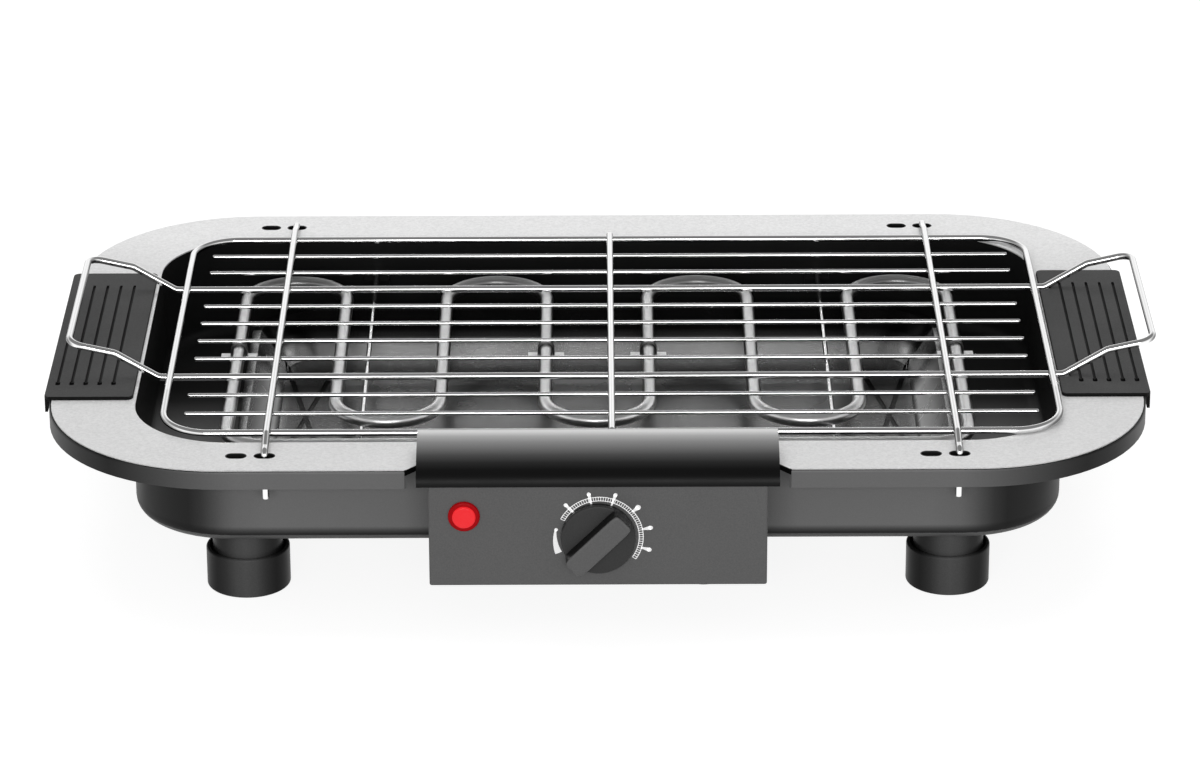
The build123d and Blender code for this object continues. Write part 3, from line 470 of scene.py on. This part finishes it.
def shade_pan(made):
    """Painted light and shade: dull floor with dark creases, highlight patches at the ends, and a black
    rear slope and hem.
    """
    tree = made.node_tree
    x, y, z = rim_coordinates(tree)
    floor_tone = ramp(tree, x, 0.1, 0.17, [
        (0.1, 0.8), (0.122, 0.75), (0.127, 0.5), (0.146, 0.45), (0.1495, 1.0), (0.157, 0.95), (0.159, 0.5),
    ])
    depth_tone = ramp(tree, y, -0.09, 0.09, [
        (-0.09, 0.12), (-0.072, 0.15), (-0.064, 0.33), (0.037, 0.33), (0.042, 0.85), (0.09, 0.95),
    ])
    deep = operate(tree, "ABSOLUTE", y)
    line_x = operate(tree, "MULTIPLY", deep, CREASE_SLOPE)
    off_line = distance_from(tree, distance_from(tree, x, CREASE_X), line_x)
    near_line = operate(tree, "LESS_THAN", off_line, CREASE_HALF_WIDTH)
    crease = operate(tree, "MULTIPLY", near_line, operate(tree, "LESS_THAN", deep, CREASE_END))
    at_end = ramp(tree, x, 0.14, 0.17, [
        (0.14, 0.0), (0.150, 0.0), (0.152, 1.0), (0.157, 0.7), (0.162, 0.35), (0.164, 0.0),
    ])
    in_front = ramp(tree, y, -0.1, 0.1, [(-0.1, 1.0), (0.02, 1.0), (0.035, 0.25), (0.06, 0.1)])
    highlight_patch = operate(tree, "MULTIPLY", at_end, in_front)
    metal = operate(tree, "SUBTRACT", 1.0, operate(tree, "MULTIPLY", highlight_patch, PATCH_DULLNESS))
    tree.links.new(metal, tree.nodes["Principled BSDF"].inputs["Metallic"])
    middle = blend(tree, 1.0, floor_tone, depth_tone, "MULTIPLY")
    floor_zones = blend(tree, crease, blend(tree, highlight_patch, middle, 1.0), SHADE_BLACK)
    high = ramp(tree, z, -0.042, -0.03, [(-0.042, 0.0), (-0.037, 0.15), (-0.033, 0.95), (-0.03, 1.0)])
    rear = operate(tree, "MULTIPLY", high, operate(tree, "GREATER_THAN", y, REAR_SLOPE_Y))
    return tint(made, blend(tree, rear, floor_zones, REAR_BLACK))


def shade_element(made):
    """Bright drawn tube with painted shade down the sides of its straight lengths and round its rear bends.
    """
    tree = made.node_tree
    _, y, z = rim_coordinates(tree)
    bends = ramp(tree, y, -0.11, 0.1, [(-0.11, 1.0), (0.06, 1.0), (0.072, 0.5), (0.1, 0.35)])
    sides = ramp(tree, z, -0.016, -0.008, [
        (-0.016, 0.06), (-0.0108, 0.08), (-0.0101, 0.25), (-0.0096, 0.9), (-0.008, 1.0),
    ])
    straight = ramp(tree, y, -0.11, 0.1, [
        (-0.11, 0.0), (-0.06, 0.0), (-0.045, 1.0), (0.066, 1.0), (0.08, 0.3),
    ])
    return tint(made, blend(tree, straight, bends, sides))


def shade_facing(made):
    """Painted light and shade: a little paler towards the rear of the rim, with a dark ring of painted
    shade round each slot.
    """
    tree = made.node_tree
    x, y, _ = rim_coordinates(tree)
    pale = ramp(tree, y, -0.16, 0.16, [(-0.16, 0.88), (0.08, 0.88), (0.125, 1.0), (0.16, 1.0)])
    from_slot = distance_from(tree, distance_from(tree, x, PAIR_X * MM), SHIFT * MM)
    from_row = operate(tree, "SUBTRACT", operate(tree, "ABSOLUTE", y), SLOT_Y * MM)
    past = outline_distance(tree, from_slot, from_row, *SLOT_OUTLINE)
    return tint(made, blend(tree, operate(tree, "LESS_THAN", past, 0), pale, SHADE_BLACK))


FOOT_X = 0.1594


def shade_foot(made):
    """A painted sheen: a soft pale band down the middle of each foot, and painted shade on its sides."""
    tree = made.node_tree
    x, _, _ = rim_coordinates(tree)
    band = [(0.0, 1.0), (0.0045, 0.85), (0.009, 0.42), (0.0135, 0.12), (0.02, 0.1)]
    return tint(made, ramp(tree, distance_from(tree, x, FOOT_X), 0.0, 0.02, band))


def shade_wire(made):
    """Plated wire with painted shade on its flanks; 'sideways' is how far the surface faces left or right.
    """
    tree = made.node_tree
    facing = tree.nodes.new("ShaderNodeAttribute")
    facing.attribute_name = "sideways"
    flanks = [(0.0, 1.0), (0.5, 1.0), (0.75, 0.25), (1.0, 0.04)]
    return tint(made, ramp(tree, facing.outputs["Fac"], 0.0, 1.0, flanks))


# PAD_END_GREY is the painted shade on the pad's front end
PAD_FRONT_Y, PAD_END_GREY = -0.0757, 0.06


def shade_pad(made):
    """Dark grey face with painted shade in the grooves and on the front end."""
    tree = made.node_tree
    _, y, z = rim_coordinates(tree)
    depth = ramp(tree, z, 0.0, 0.002, [(0.0, 0.1), (0.0008, 0.12), (0.00145, 0.35), (0.00155, 1.0)])
    front = operate(tree, "LESS_THAN", y, PAD_FRONT_Y)
    return tint(made, blend(tree, front, depth, PAD_END_GREY))


def shade_knob(made):
    """Painted light and shade: a lit grey on the grip's flat face, nearly black down its sides, dark grey
    on the disc.
    """
    tree = made.node_tree
    _, y, _ = rim_coordinates(tree)
    return tint(made, ramp(tree, y, -0.1755, -0.16, [
        (-0.1755, 1.7), (-0.1742, 1.7), (-0.1736, 0.8), (-0.173, 0.08), (-0.1677, 0.06), (-0.1673, 0.6),
        (-0.1662, 0.45), (-0.165, 0.1),
    ]))


def shade_hood(made):
    """A painted highlight along the hood's crest that falls away to black painted shade at its lower front
    edge.
    """
    tree = made.node_tree
    _, y, _ = rim_coordinates(tree)
    return tint(made, ramp(tree, y, -0.164, -0.13, [
        (-0.164, 0.003), (-0.1601, 0.006), (-0.1571, 0.02), (-0.1532, 0.065), (-0.149, 0.15),
        (-0.1442, 0.25), (-0.1391, 0.42), (-0.1345, 0.72),
    ]))


def shade_clip(made):
    """Dark over the tube and bright at the feet."""
    tree = made.node_tree
    _, _, z = rim_coordinates(tree)
    return tint(made, ramp(tree, z, -0.016, -0.007, [
        (-0.016, 1.0), (-0.0142, 1.0), (-0.0138, 0.1), (-0.007, 0.06),
    ]))


FINISHES = {
    "tub_enamel": shade_tub(finish(
        "charcoal_enamel", grey(0.93), grey(1.0), 0.4, 0.5, bump=0.15, specular=0.15,
    )),
    "rim_facing": shade_facing(finish(
        "satin_facing", grey(0.82), grey(1.0), 0.36, 0.46, grain=700.0, bump=0.3, metallic=0.2,
        sharpness=0.7,
    )),
    "pad_plastic": shade_pad(finish(
        "pad_plastic", grey(0.055), grey(0.07), 0.5, 0.6, bump=0.2, specular=0.1,
    )),
    "foot_plastic": shade_foot(finish(
        "black_plastic", grey(0.105), grey(0.12), 0.3, 0.42, bump=0.1, specular=0.08,
    )),
    "zinc_steel": finish("zinc_plating", grey(0.55), grey(0.65), 0.3, 0.4, metallic=1.0),
    "pan_bright": shade_pan(finish(
        "rolled_sheet", grey(0.84), grey(1.0), 0.2, 0.3, grain=(200.0, 3000.0, 3000.0), metallic=1.0,
    )),
    "element_sheath": shade_element(finish(
        "drawn_tube", grey(0.9), grey(0.95), 0.28, 0.34, grain=700.0, bump=0.0, metallic=1.0,
    )),
    "rack_chrome": shade_wire(finish(
        "chrome_wire", grey(0.92), grey(0.96), 0.05, 0.10, bump=0.02, metallic=1.0,
    )),
    "panel_paint": finish("panel_powder_coat", grey(0.10), grey(0.125), 0.5, 0.6, bump=0.25),
    "hood_paint": shade_hood(finish(
        "hood_paint", grey(0.96), grey(1.0), 0.36, 0.44, bump=0.08, specular=0.12,
    )),
    "knob_plastic": shade_knob(finish(
        "knob_plastic", grey(0.08), grey(0.095), 0.36, 0.46, bump=0.1, specular=0.2,
    )),
    "lamp_red": finish(
        "lamp_lens", (0.8, 0.02, 0.025), (0.85, 0.03, 0.035), 0.12, 0.2, bump=0.0, specular=0.2,
        emission=((1.0, 0.02, 0.03), 0.35),
    ),
    "lamp_ring": finish(
        "lamp_ring", (0.46, 0.001, 0.004), (0.52, 0.002, 0.006), 0.25, 0.35, bump=0.0, specular=0.1,
    ),
    "ceramic_white": finish("ceramic", (0.7, 0.68, 0.62), (0.75, 0.73, 0.68), 0.4, 0.5),
    "lead_sleeve": finish(
        "glass_sleeving", (0.6, 0.57, 0.5), (0.72, 0.7, 0.64), 0.7, 0.8, grain=2500.0, bump=0.5,
    ),
}

slots = {entry["node"]: entry["material_slot"] for entry in frame["record"]["subparts"]}
for node, slot in slots.items():
    mesh = nodes[node].data
    mesh.materials.clear()
    mesh.materials.append(FINISHES[slot])
print("finishes on", len(slots), "solids")

# %% [markdown]
# Pieces. Whatever the scene draws is first a list of shells, each with points in millimetres about the
# rim's middle and its faces. One function makes an object of them, and a second lets it stand for a solid.


# %% Pieces from shells
def new_piece(name, shells, material, smooth=False):
    """One object from several shells in millimetres about the rim's middle."""
    points, faces = [], []
    for shell, sides in shells:
        start = len(points)
        points += (shell * MM + np.array([RIM_X, RIM_Y, RIM_Z])).tolist()
        faces += [tuple(start + i for i in side) for side in sides]
    mesh = bpy.data.meshes.new(name)
    mesh.from_pydata(points, [], faces)
    mesh.polygons.foreach_set("use_smooth", np.full(len(faces), smooth))
    mesh.materials.append(material)
    piece = bpy.data.objects.new(name, mesh)
    bpy.context.scene.collection.objects.link(piece)
    print(name, len(faces), "faces")
    return piece


def dress(name, shells, material, stands_for, smooth=True):
    """A piece that moves with the solid it stands for, and knows how far each point faces left or right."""
    piece = new_piece(name, shells, material, smooth)
    normals = np.empty(3 * len(piece.data.vertices), dtype=np.float32)
    piece.data.vertex_normals.foreach_get("vector", normals)
    sideways = piece.data.attributes.new("sideways", "FLOAT", "POINT")
    sideways.data.foreach_set("value", np.abs(normals[0::3]))
    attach(piece, body_of(nodes[stands_for])[0])
    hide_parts(stands_for)


# %% [markdown]
# The scale round the knob is print on the panel, so it is a thin film of flat shapes a twentieth of a
# millimetre in front of it. It holds a band of two fine arcs with cross strokes between them, six ticks
# with round heads, one growing bar and a small triangle. All are laid out in millimetres round the dial's
# middle.

# %% Dial marks
DIAL_X, DIAL_Z = 0.7, -29.4
PANEL_Y = -163.0
PRINT_GAP = 0.05


def two_arcs(angle, radius, width):
    """Points on two arcs about one radius: p(a) = r (cos a, sin a) for r = radius -/+ width / 2."""
    radii = (radius - width / 2, radius + width / 2)
    return np.concatenate([np.stack([r * np.cos(angle), r * np.sin(angle)], axis=1) for r in radii])


def arc_strip(radius, width, start, end, steps):
    """A ring sector of even width."""
    angle = np.radians(np.linspace(start, end, steps + 1))
    quads = [(i, i + 1, steps + 2 + i, steps + 1 + i) for i in range(steps)]
    return two_arcs(angle, radius, width), quads


def growing_bar(radius, start, end, start_width, end_width, steps):
    """A ring sector whose width grows: w = w0 + (w1 - w0) t for t from 0 to 1 along it."""
    t = np.linspace(0, 1, steps + 1)
    angle = np.radians(start + (end - start) * t)
    quads = [(i + 1, steps + 2 + i, steps + 1 + i, i) for i in range(steps)]
    return two_arcs(angle, radius, start_width + (end_width - start_width) * t), quads


def radial_bar(angle, inner, outer, inner_width, outer_width):
    """A straight bar along a radius: p(r, w) = r (cos a, sin a) + w (-sin a, cos a)."""
    a = math.radians(angle)
    along, side = np.array([math.cos(a), math.sin(a)]), np.array([-math.sin(a), math.cos(a)])
    corners = [
        inner * along - inner_width / 2 * side, outer * along - outer_width / 2 * side,
        outer * along + outer_width / 2 * side, inner * along + inner_width / 2 * side,
    ]
    return np.array(corners), [(0, 1, 2, 3)]


def disc(angle, at, radius, steps=12):
    """A filled circle: p(t) = m (cos a, sin a) + r (cos t, sin t), with its middle at the distance m."""
    a = math.radians(angle)
    turn = np.linspace(0, 2 * np.pi, steps, endpoint=False)
    middle = at * np.array([math.cos(a), math.sin(a)])
    return middle + radius * np.stack([np.cos(turn), np.sin(turn)], axis=1), [tuple(range(steps))]


BAND = (17.5, 19.3)
BAND_START, BAND_END, STROKE_EVERY = -34, 153, 3.4
ARC_WIDTH, STROKE_WIDTH, TICK_FOOT = 0.35, 0.3, 0.7
TRIANGLE = np.array([(-14.2, -9.1), (-13.9, -12.0), (-10.7, -9.0)])
marks = [arc_strip(radius, ARC_WIDTH, BAND_START, BAND_END, steps=96) for radius in BAND]
for stroke in np.arange(BAND_START, BAND_END + 0.5, STROKE_EVERY):
    marks.append(radial_bar(stroke, *BAND, STROKE_WIDTH, STROKE_WIDTH))
# Each tick has an angle, its two ends, its width at the head and the head's radius
for tick, inner, outer, width, head in (
    (134, 15.4, 22.5, 1.5, 0.9), (103, 15.3, 22.2, 1.5, 0.9), (71, 15.8, 22.4, 1.5, 0.9),
    (40, 18.7, 23.4, 2.2, 1.2), (11, 19.0, 24.0, 2.0, 1.0), (-16, 19.0, 23.9, 2.0, 1.0),
):
    marks += [radial_bar(tick, inner, outer - head, TICK_FOOT, width), disc(tick, outer - head, head)]
marks.append(growing_bar(radius=19.8, start=170, end=203, start_width=0.8, end_width=3.1, steps=12))
marks += [disc(angle=169.5, at=19.6, radius=0.8), (TRIANGLE, [(0, 1, 2)])]

film = []
for corners, faces in marks:
    front = np.full(len(corners), PANEL_Y - PRINT_GAP)
    film.append((np.stack([DIAL_X + corners[:, 0], front, DIAL_Z + corners[:, 1]], axis=1), faces))
# The print's faint emission is painted light that keeps it white.
WHITE_PRINT = finish(
    "white_print", grey(0.86), grey(0.92), 0.5, 0.6, bump=0.0, specular=0.2, emission=(grey(1.0), 0.32),
)
dial_print = new_piece("dial_print", film, WHITE_PRINT)
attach(dial_print, "heater_unit")

# %% [markdown]
# The knob is moulded in one piece: a slightly domed disc with a soft edge, and a grip bar across it whose
# flanks lean a little so that it leaves its mould. The disc is a profile turned round the axis, and the bar
# is a stack of rounded oblong rings. Both follow the same rule, so one function builds the rings of either.

# %% Knob
KNOB_TURN = 45.0
KNOB_R, DOME = 16.5, 0.5
KNOB_BACK, KNOB_FACE, KNOB_FRONT = 0.6, 3.8, 11.6
GRIP_HALF, GRIP_WIDTH = 16.3, 5.0
GRIP_FOOT, LEAN_LONG, LEAN_WIDE = 1.6, 0.1, 0.7
GRIP_TOP_INSETS = (1.2, 2.0, 3.4)
DISC_EDGE, GRIP_EDGE, EDGE_STEPS = 0.9, 0.8, 7
DOME_RINGS = np.linspace(15.0, 1.0, 12)
ROUND, OBLONG = 2.0, 9.0


def ring_stack(profile, steps, power):
    """Rings (a c(t), b s(t), h) for each row: c = sign(cos t) |cos t|^(2/p), and s the same of sin t."""
    t = np.linspace(0, 2 * np.pi, steps, endpoint=False)
    across = np.sign(np.cos(t)) * np.abs(np.cos(t)) ** (2 / power)
    along = np.sign(np.sin(t)) * np.abs(np.sin(t)) ** (2 / power)
    rows = np.array(profile)
    grid = np.stack([
        rows[:, :1] * across, rows[:, 1:2] * along, rows[:, 2:] * np.ones(steps),
    ], axis=2)
    here = np.arange(steps)
    after = (here + 1) % steps
    faces = [tuple(here[::-1].tolist()), tuple((here + (len(profile) - 1) * steps).tolist())]
    for low in np.arange(len(profile) - 1) * steps:
        quads = np.stack([low + here, low + after, low + steps + after, low + steps + here], axis=1)
        faces += [tuple(quad) for quad in quads.tolist()]
    return grid.reshape(-1, 3), faces


def rounded_edge(half_long, half_wide, low, high, radius):
    """Rows up a wall and over a quarter circle: (a - r + r cos q, b - r + r cos q, h - r + r sin q)."""
    q = np.radians(np.linspace(0, 90, EDGE_STEPS))
    inwards = radius * (1 - np.cos(q))
    rise = high - radius + radius * np.sin(q)
    over = [(half_long - i, half_wide - i, h) for i, h in zip(inwards, rise)]
    return [(half_long, half_wide, low)] + over


disc_rows = rounded_edge(KNOB_R, KNOB_R, KNOB_BACK, KNOB_FACE, DISC_EDGE)
disc_rows += [(r, r, KNOB_FACE + DOME * (1 - (r / KNOB_R) ** 2)) for r in DOME_RINGS]
grip_rows = [(GRIP_HALF + LEAN_LONG, GRIP_WIDTH + LEAN_WIDE, GRIP_FOOT)]
grip_rows += rounded_edge(GRIP_HALF, GRIP_WIDTH, KNOB_FACE, KNOB_FRONT, GRIP_EDGE)[1:]
grip_rows += [(GRIP_HALF - inset, GRIP_WIDTH - inset, KNOB_FRONT) for inset in GRIP_TOP_INSETS]
shells = []
for rows, power, steps, degrees in ((disc_rows, ROUND, 96, 0), (grip_rows, OBLONG, 128, KNOB_TURN)):
    points, faces = ring_stack(rows, steps, power)
    turn = math.radians(degrees)
    u = points[:, 0] * math.cos(turn) - points[:, 1] * math.sin(turn)
    v = points[:, 0] * math.sin(turn) + points[:, 1] * math.cos(turn)
    shells.append((np.stack([u, PANEL_Y - points[:, 2], DIAL_Z + v], axis=1), faces))
knob = new_piece("knob", shells, FINISHES["knob_plastic"], smooth=True)
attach(knob, body_of(nodes["control_knob"])[0])
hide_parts("control_knob")

# %% [markdown]
# The element and the rack are drawn wire and tube, so they want an unbroken gloss that follows every bend.
# Each is one section carried along a line of straight runs and round arcs, with the true direction kept at
# every point. The lines are those of the solids, but for the short centre crossbar, which is set a little
# further forward as in the photograph. The same function makes the strips of the clips.

# %% Sections carried along bent lines
UP, ALONG, ACROSS = (0, 0, 1), (1, 0, 0), (0, 1, 0)
END_SUPPORT = 0.4
END_ANGLES = (0, 30, 60)
ARC_STEP, ARC_LEAST = 3, 6


def bent_line(points, radii, closed=False):
    """Points and directions of straight runs joined by arcs.

    With the way d into a corner and n at right angles to it towards the inside, an arc is
    p(q) = c + r (d sin q - n cos q) and its direction is t(q) = d cos q + n sin q.
    """
    places = [np.array(point, dtype=float) for point in points]
    if closed:
        places.append(places[0])
    line, ways = [], []
    for index, radius in enumerate(radii):
        corner = places[index + 1]
        into = (corner - places[index]) / np.linalg.norm(corner - places[index])
        out = (places[index + 2] - corner) / np.linalg.norm(places[index + 2] - corner)
        angle = math.acos(np.clip(into @ out, -1, 1))
        inward = out - into * (into @ out)
        inward /= np.linalg.norm(inward)
        centre = corner - into * radius * math.tan(angle / 2) + inward * radius
        q = np.linspace(0, angle, max(ARC_LEAST, round(math.degrees(angle) / ARC_STEP)))[:, None]
        line.append(centre + radius * (into * np.sin(q) - inward * np.cos(q)))
        ways.append(into * np.cos(q) + inward * np.sin(q))
    if not closed:
        first, last = places[1] - places[0], places[-1] - places[-2]
        line = [places[0][None], *line, places[-1][None]]
        ways = [first[None] / np.linalg.norm(first), *ways, last[None] / np.linalg.norm(last)]
    return np.concatenate(line), np.concatenate(ways)


def circle(radius, steps):
    """Section points (r cos a, r sin a)."""
    a = np.linspace(0, 2 * np.pi, steps, endpoint=False)
    return radius * np.stack([np.cos(a), np.sin(a)], axis=1)


def oblong(half_thick, half_wide):
    """Section points (-/+ a, -/+ b) of a flat strip."""
    a, b = half_thick, half_wide
    return np.array([(-a, -b), (a, -b), (a, b), (-a, b)])


def carry(line, ways, section, up_hint, closed=False, end_round=0.0):
    """Rings p = line + u side + v up, where side is way x hint and up is side x way.

    An open end is rounded over a length e: radius R - e + e sin q at a depth e (1 - cos q). A ring close
    behind each end keeps its shading off the long run.
    """
    if not closed:
        close = end_round + END_SUPPORT
        behind = [line[:1] + ways[:1] * close, line[-1:] - ways[-1:] * close]
        line = np.concatenate([line[:1], behind[0], line[1:-1], behind[1], line[-1:]])
        ways = np.concatenate([ways[:1], ways, ways[-1:]])
    scale = np.ones(len(line))
    if end_round:
        q = np.radians(END_ANGLES)
        depth = end_round * (1 - np.cos(q))[:, None]
        reach = np.linalg.norm(section, axis=1).max()
        ends = 1 - end_round * (1 - np.sin(q)) / reach
        line = np.concatenate([
            line[0] + ways[0] * depth, line[:1] + ways[:1] * end_round, line[1:-1],
            line[-1:] - ways[-1:] * end_round, line[-1] - ways[-1] * depth[::-1],
        ])
        first, last = (np.repeat(way, len(q), axis=0) for way in (ways[:1], ways[-1:]))
        ways = np.concatenate([first, ways, last])
        scale = np.concatenate([ends, scale, ends[::-1]])
    side = np.cross(ways, up_hint)
    side /= np.linalg.norm(side, axis=1)[:, None]
    up = np.cross(side, ways)
    around = section[None] * scale[:, None, None]
    rings = line[:, None] + around[..., :1] * side[:, None] + around[..., 1:] * up[:, None]
    count, steps = rings.shape[:2]
    i, j = np.meshgrid(np.arange(count if closed else count - 1), np.arange(steps), indexing="ij")
    here, ahead, next_j = i * steps, (i + 1) % count * steps, (j + 1) % steps
    quads = np.stack([here + j, ahead + j, ahead + next_j, here + next_j], axis=-1)
    faces = [tuple(quad) for quad in quads.reshape(-1, 4).tolist()]
    if not closed:
        faces += [tuple(range(steps)), tuple(range((count - 1) * steps, count * steps))[::-1]]
    return rings.reshape(-1, 3), faces


# %% [markdown]
# The element is one tube in eight lengths: legs from the box, a front run to either end, then bends to and
# Its clips are strips bent over the tube, darker on top and bright at their feet.

# %% Element and clips
TUBE_R, TUBE_Z = 3.2, -12.0
TURNS, TURN_R, LEG_BEND, CORNER_BEND = 7, 24.12, 12.0, 18.0
TUBE_PITCH, OUTER_X = 48.34, 169.19
LEG_X, LEG_END_Y, FRONT_RUN_Y = 45.0, -136.0, -101.0
REAR_TURN_Y, FRONT_TURN_Y = 96.17, -74.17
turns = [(-LEG_X, LEG_END_Y), (-LEG_X, FRONT_RUN_Y), (-OUTER_X, FRONT_RUN_Y)]
for index in range(TURNS):
    turn_y = REAR_TURN_Y if index % 2 == 0 else FRONT_TURN_Y
    turns += [(-OUTER_X + index * TUBE_PITCH, turn_y), (-OUTER_X + (index + 1) * TUBE_PITCH, turn_y)]
turns += [(OUTER_X, FRONT_RUN_Y), (LEG_X, FRONT_RUN_Y), (LEG_X, LEG_END_Y)]
radii = [LEG_BEND, CORNER_BEND, *[TURN_R] * 2 * TURNS, CORNER_BEND, LEG_BEND]
line, ways = bent_line([(x, y, TUBE_Z) for x, y in turns], radii)
tube = carry(line, ways, circle(TUBE_R, steps=32), UP)
dress("element_tube", [tube], FINISHES["element_sheath"], "heating_element")

CLIP_Y, CLIP_LOW, CLIP_TOP = 11.0, -14.8, -8.4
CLIP_FOOT, CLIP_ARCH, CLIP_BENDS = 8.5, 3.6, [0.8, 3.59, 3.59, 0.8]
CLIP_HALF_THICK, CLIP_HALF_WIDE = 0.4, 2.2
CLIP_COLUMNS = (0, 3, 4, 7)
half_clip = [(CLIP_FOOT, CLIP_LOW), (CLIP_ARCH, CLIP_LOW), (CLIP_ARCH, CLIP_TOP)]
clip_corners = [(-x, z) for x, z in half_clip] + half_clip[::-1]
clips = []
for column in CLIP_COLUMNS:
    x = -OUTER_X + column * TUBE_PITCH
    line, ways = bent_line([(x + dx, CLIP_Y, z) for dx, z in clip_corners], CLIP_BENDS)
    clips.append(carry(line, ways, oblong(CLIP_HALF_THICK, CLIP_HALF_WIDE), ACROSS))
CLIP_FINISH = shade_clip(finish("clip_strip", grey(0.8), grey(0.9), 0.3, 0.4, bump=0.05, metallic=0.5))
dress("clip_strips", clips, CLIP_FINISH, "saddle_clips", smooth=False)

# %% [markdown]
# The rack is welded from wire of two thicknesses. The frame and the handle loop are closed lines, the
# crossbars run over them, two of them turn down into the rim's slots, and eight thin bars lie between.

# %% Rack
WIRE_R, THIN_R = 1.65, 1.0
WIRE_END, THIN_END = 1.0, 0.8
RACK_X, RACK_Y, LOOP_Y = 202.6, 118.0, 53.5
WIRE_Z, SIDE_Z, CROSS_Z = 1.7, 3.3, 4.1
HUMP_Y = 75.0
CROSS_OUT_Y, CROSS_DOWN_Y, LEG_LOW = 124.0, 134.0, -21.0
CENTRE_FRONT_Y, CENTRE_REAR_Y = -123.0, 118.6
THIN_HALF, THIN_PITCH = 193.4, 21.4
THIN_PLACES = (-4.5, -3.5, -1.5, -0.5, 0.5, 1.5, 3.5, 4.5)
FRAME_BENDS = [22.0, 60.0, 60.0, 22.0]
HANDLE_BENDS = [6.0, 6.0, 7.0, 7.0, 6.0, 6.0]
CROSS_BENDS = [2.0, 5.0, 5.0, 5.0, 5.0, 2.0]
CHROME = FINISHES["rack_chrome"]
wire = circle(WIRE_R, steps=24)
low_side = [(-RACK_Y, WIRE_Z), (-HUMP_Y, SIDE_Z), (HUMP_Y, SIDE_Z), (RACK_Y, WIRE_Z)]
corners = [(SHIFT, -RACK_Y, WIRE_Z)] + [(SHIFT + RACK_X, y, z) for y, z in low_side]
corners += [(SHIFT - RACK_X, y, z) for y, z in reversed(low_side)]
line, ways = bent_line(corners, FRAME_BENDS * 2, closed=True)
dress("frame_wire", [carry(line, ways, wire, UP, closed=True)], CHROME, "rack_frame")

rise = [(208.0, WIRE_Z), (228.0, 13.8), (249.0, 18.6)]
corners = [(SHIFT, -LOOP_Y, WIRE_Z)] + [(SHIFT + x, -LOOP_Y, z) for x, z in rise]
corners += [(SHIFT + x, LOOP_Y, z) for x, z in reversed(rise)]
corners += [(SHIFT - x, LOOP_Y, z) for x, z in rise]
corners += [(SHIFT - x, -LOOP_Y, z) for x, z in reversed(rise)]
line, ways = bent_line(corners, HANDLE_BENDS * 2, closed=True)
dress("handle_wire", [carry(line, ways, wire, UP, closed=True)], CHROME, "rack_handle_loop")

half_bar = [(CROSS_OUT_Y, CROSS_Z), (CROSS_DOWN_Y, WIRE_Z), (SLOT_Y, WIRE_Z), (SLOT_Y, LEG_LOW)]
for name, x in (("left", -PAIR_X), ("right", PAIR_X)):
    corners = [(SHIFT + x, -y, z) for y, z in reversed(half_bar)] + [(SHIFT + x, y, z) for y, z in half_bar]
    line, ways = bent_line(corners, CROSS_BENDS)
    bar = carry(line, ways, wire, ALONG, end_round=WIRE_END)
    dress(f"crossbar_wire_{name}", [bar], CHROME, f"rack_crossbar_{name}")
line, ways = bent_line([(SHIFT, CENTRE_FRONT_Y, CROSS_Z), (SHIFT, CENTRE_REAR_Y, CROSS_Z)], [])
bar = carry(line, ways, wire, ALONG, end_round=WIRE_END)
dress("crossbar_wire_centre", [bar], CHROME, "rack_crossbar_centre")

thin = []
for place in THIN_PLACES:
    ends = [(SHIFT + x, place * THIN_PITCH, WIRE_Z) for x in (-THIN_HALF, THIN_HALF)]
    line, ways = bent_line(ends, [])
    thin.append(carry(line, ways, circle(THIN_R, steps=20), UP, end_round=THIN_END))
dress("thin_wires", thin, CHROME, "rack_thin_bars")

# %% [markdown]
# The slots in the rim are punched with their edges turned down, so a viewer looks on a dark inner wall and
# not through to the table. Each turned edge is a thin strip carried round the slot's outline, coloured near
# black as painted shade.

# %% Turned-down slot edges
EDGE_Z, EDGE_HALF_THICK, EDGE_HALF_DEEP = -3.2, 0.2, 1.6
SLOT_HALF_X, SLOT_HALF_Y, SLOT_R = 4.6, 2.7, 2.65
SIGNS = ((0, -1), (1, -1), (1, 1), (-1, 1), (-1, -1))
edges = []
for x in (-PAIR_X - SHIFT, SHIFT - PAIR_X, PAIR_X - SHIFT, PAIR_X + SHIFT):
    for y in (-SLOT_Y, SLOT_Y):
        corners = [(x + SLOT_HALF_X * u, y + SLOT_HALF_Y * v, EDGE_Z) for u, v in SIGNS]
        line, ways = bent_line(corners, [SLOT_R] * 4, closed=True)
        edges.append(carry(line, ways, oblong(EDGE_HALF_THICK, EDGE_HALF_DEEP), UP, closed=True))
# Near-black painted shade on the slots' turned edges
SLOT_WALL_SHADE = finish("slot_painted_shade", grey(0.004), grey(0.006), 0.5, 0.6, bump=0.05, specular=0.05)
slot_edges = new_piece("slot_edges", edges, SLOT_WALL_SHADE)
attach(slot_edges, body_of(nodes["tub_body"])[0])

# %% [markdown]
# A black strip along each sloped shoulder of the rim's notch stands in for the shade in the gap beneath the
# sheet's edge.

# %% Painted shade strips on the notch's shoulders
INNER_END, OUTER_END, STRIP_Z = (77.4, -146.9), (85.4, -156.2), -1.3
STRIP_HALF_THICK, STRIP_HALF_WIDE = 0.3, 1.2
strips = []
for side in (-1, 1):
    line, ways = bent_line([(side * x, y, STRIP_Z) for x, y in (INNER_END, OUTER_END)], [])
    strips.append(carry(line, ways, oblong(STRIP_HALF_THICK, STRIP_HALF_WIDE), UP))
# Near-black painted shade on the notch's strips
NOTCH_GAP_SHADE = finish("notch_painted_shade", grey(0.004), grey(0.006), 0.5, 0.6, bump=0.05, specular=0.05)
notch_shade_strips = new_piece("notch_shade_strips", strips, NOTCH_GAP_SHADE)
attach(notch_shade_strips, body_of(nodes["tub_body"])[0])
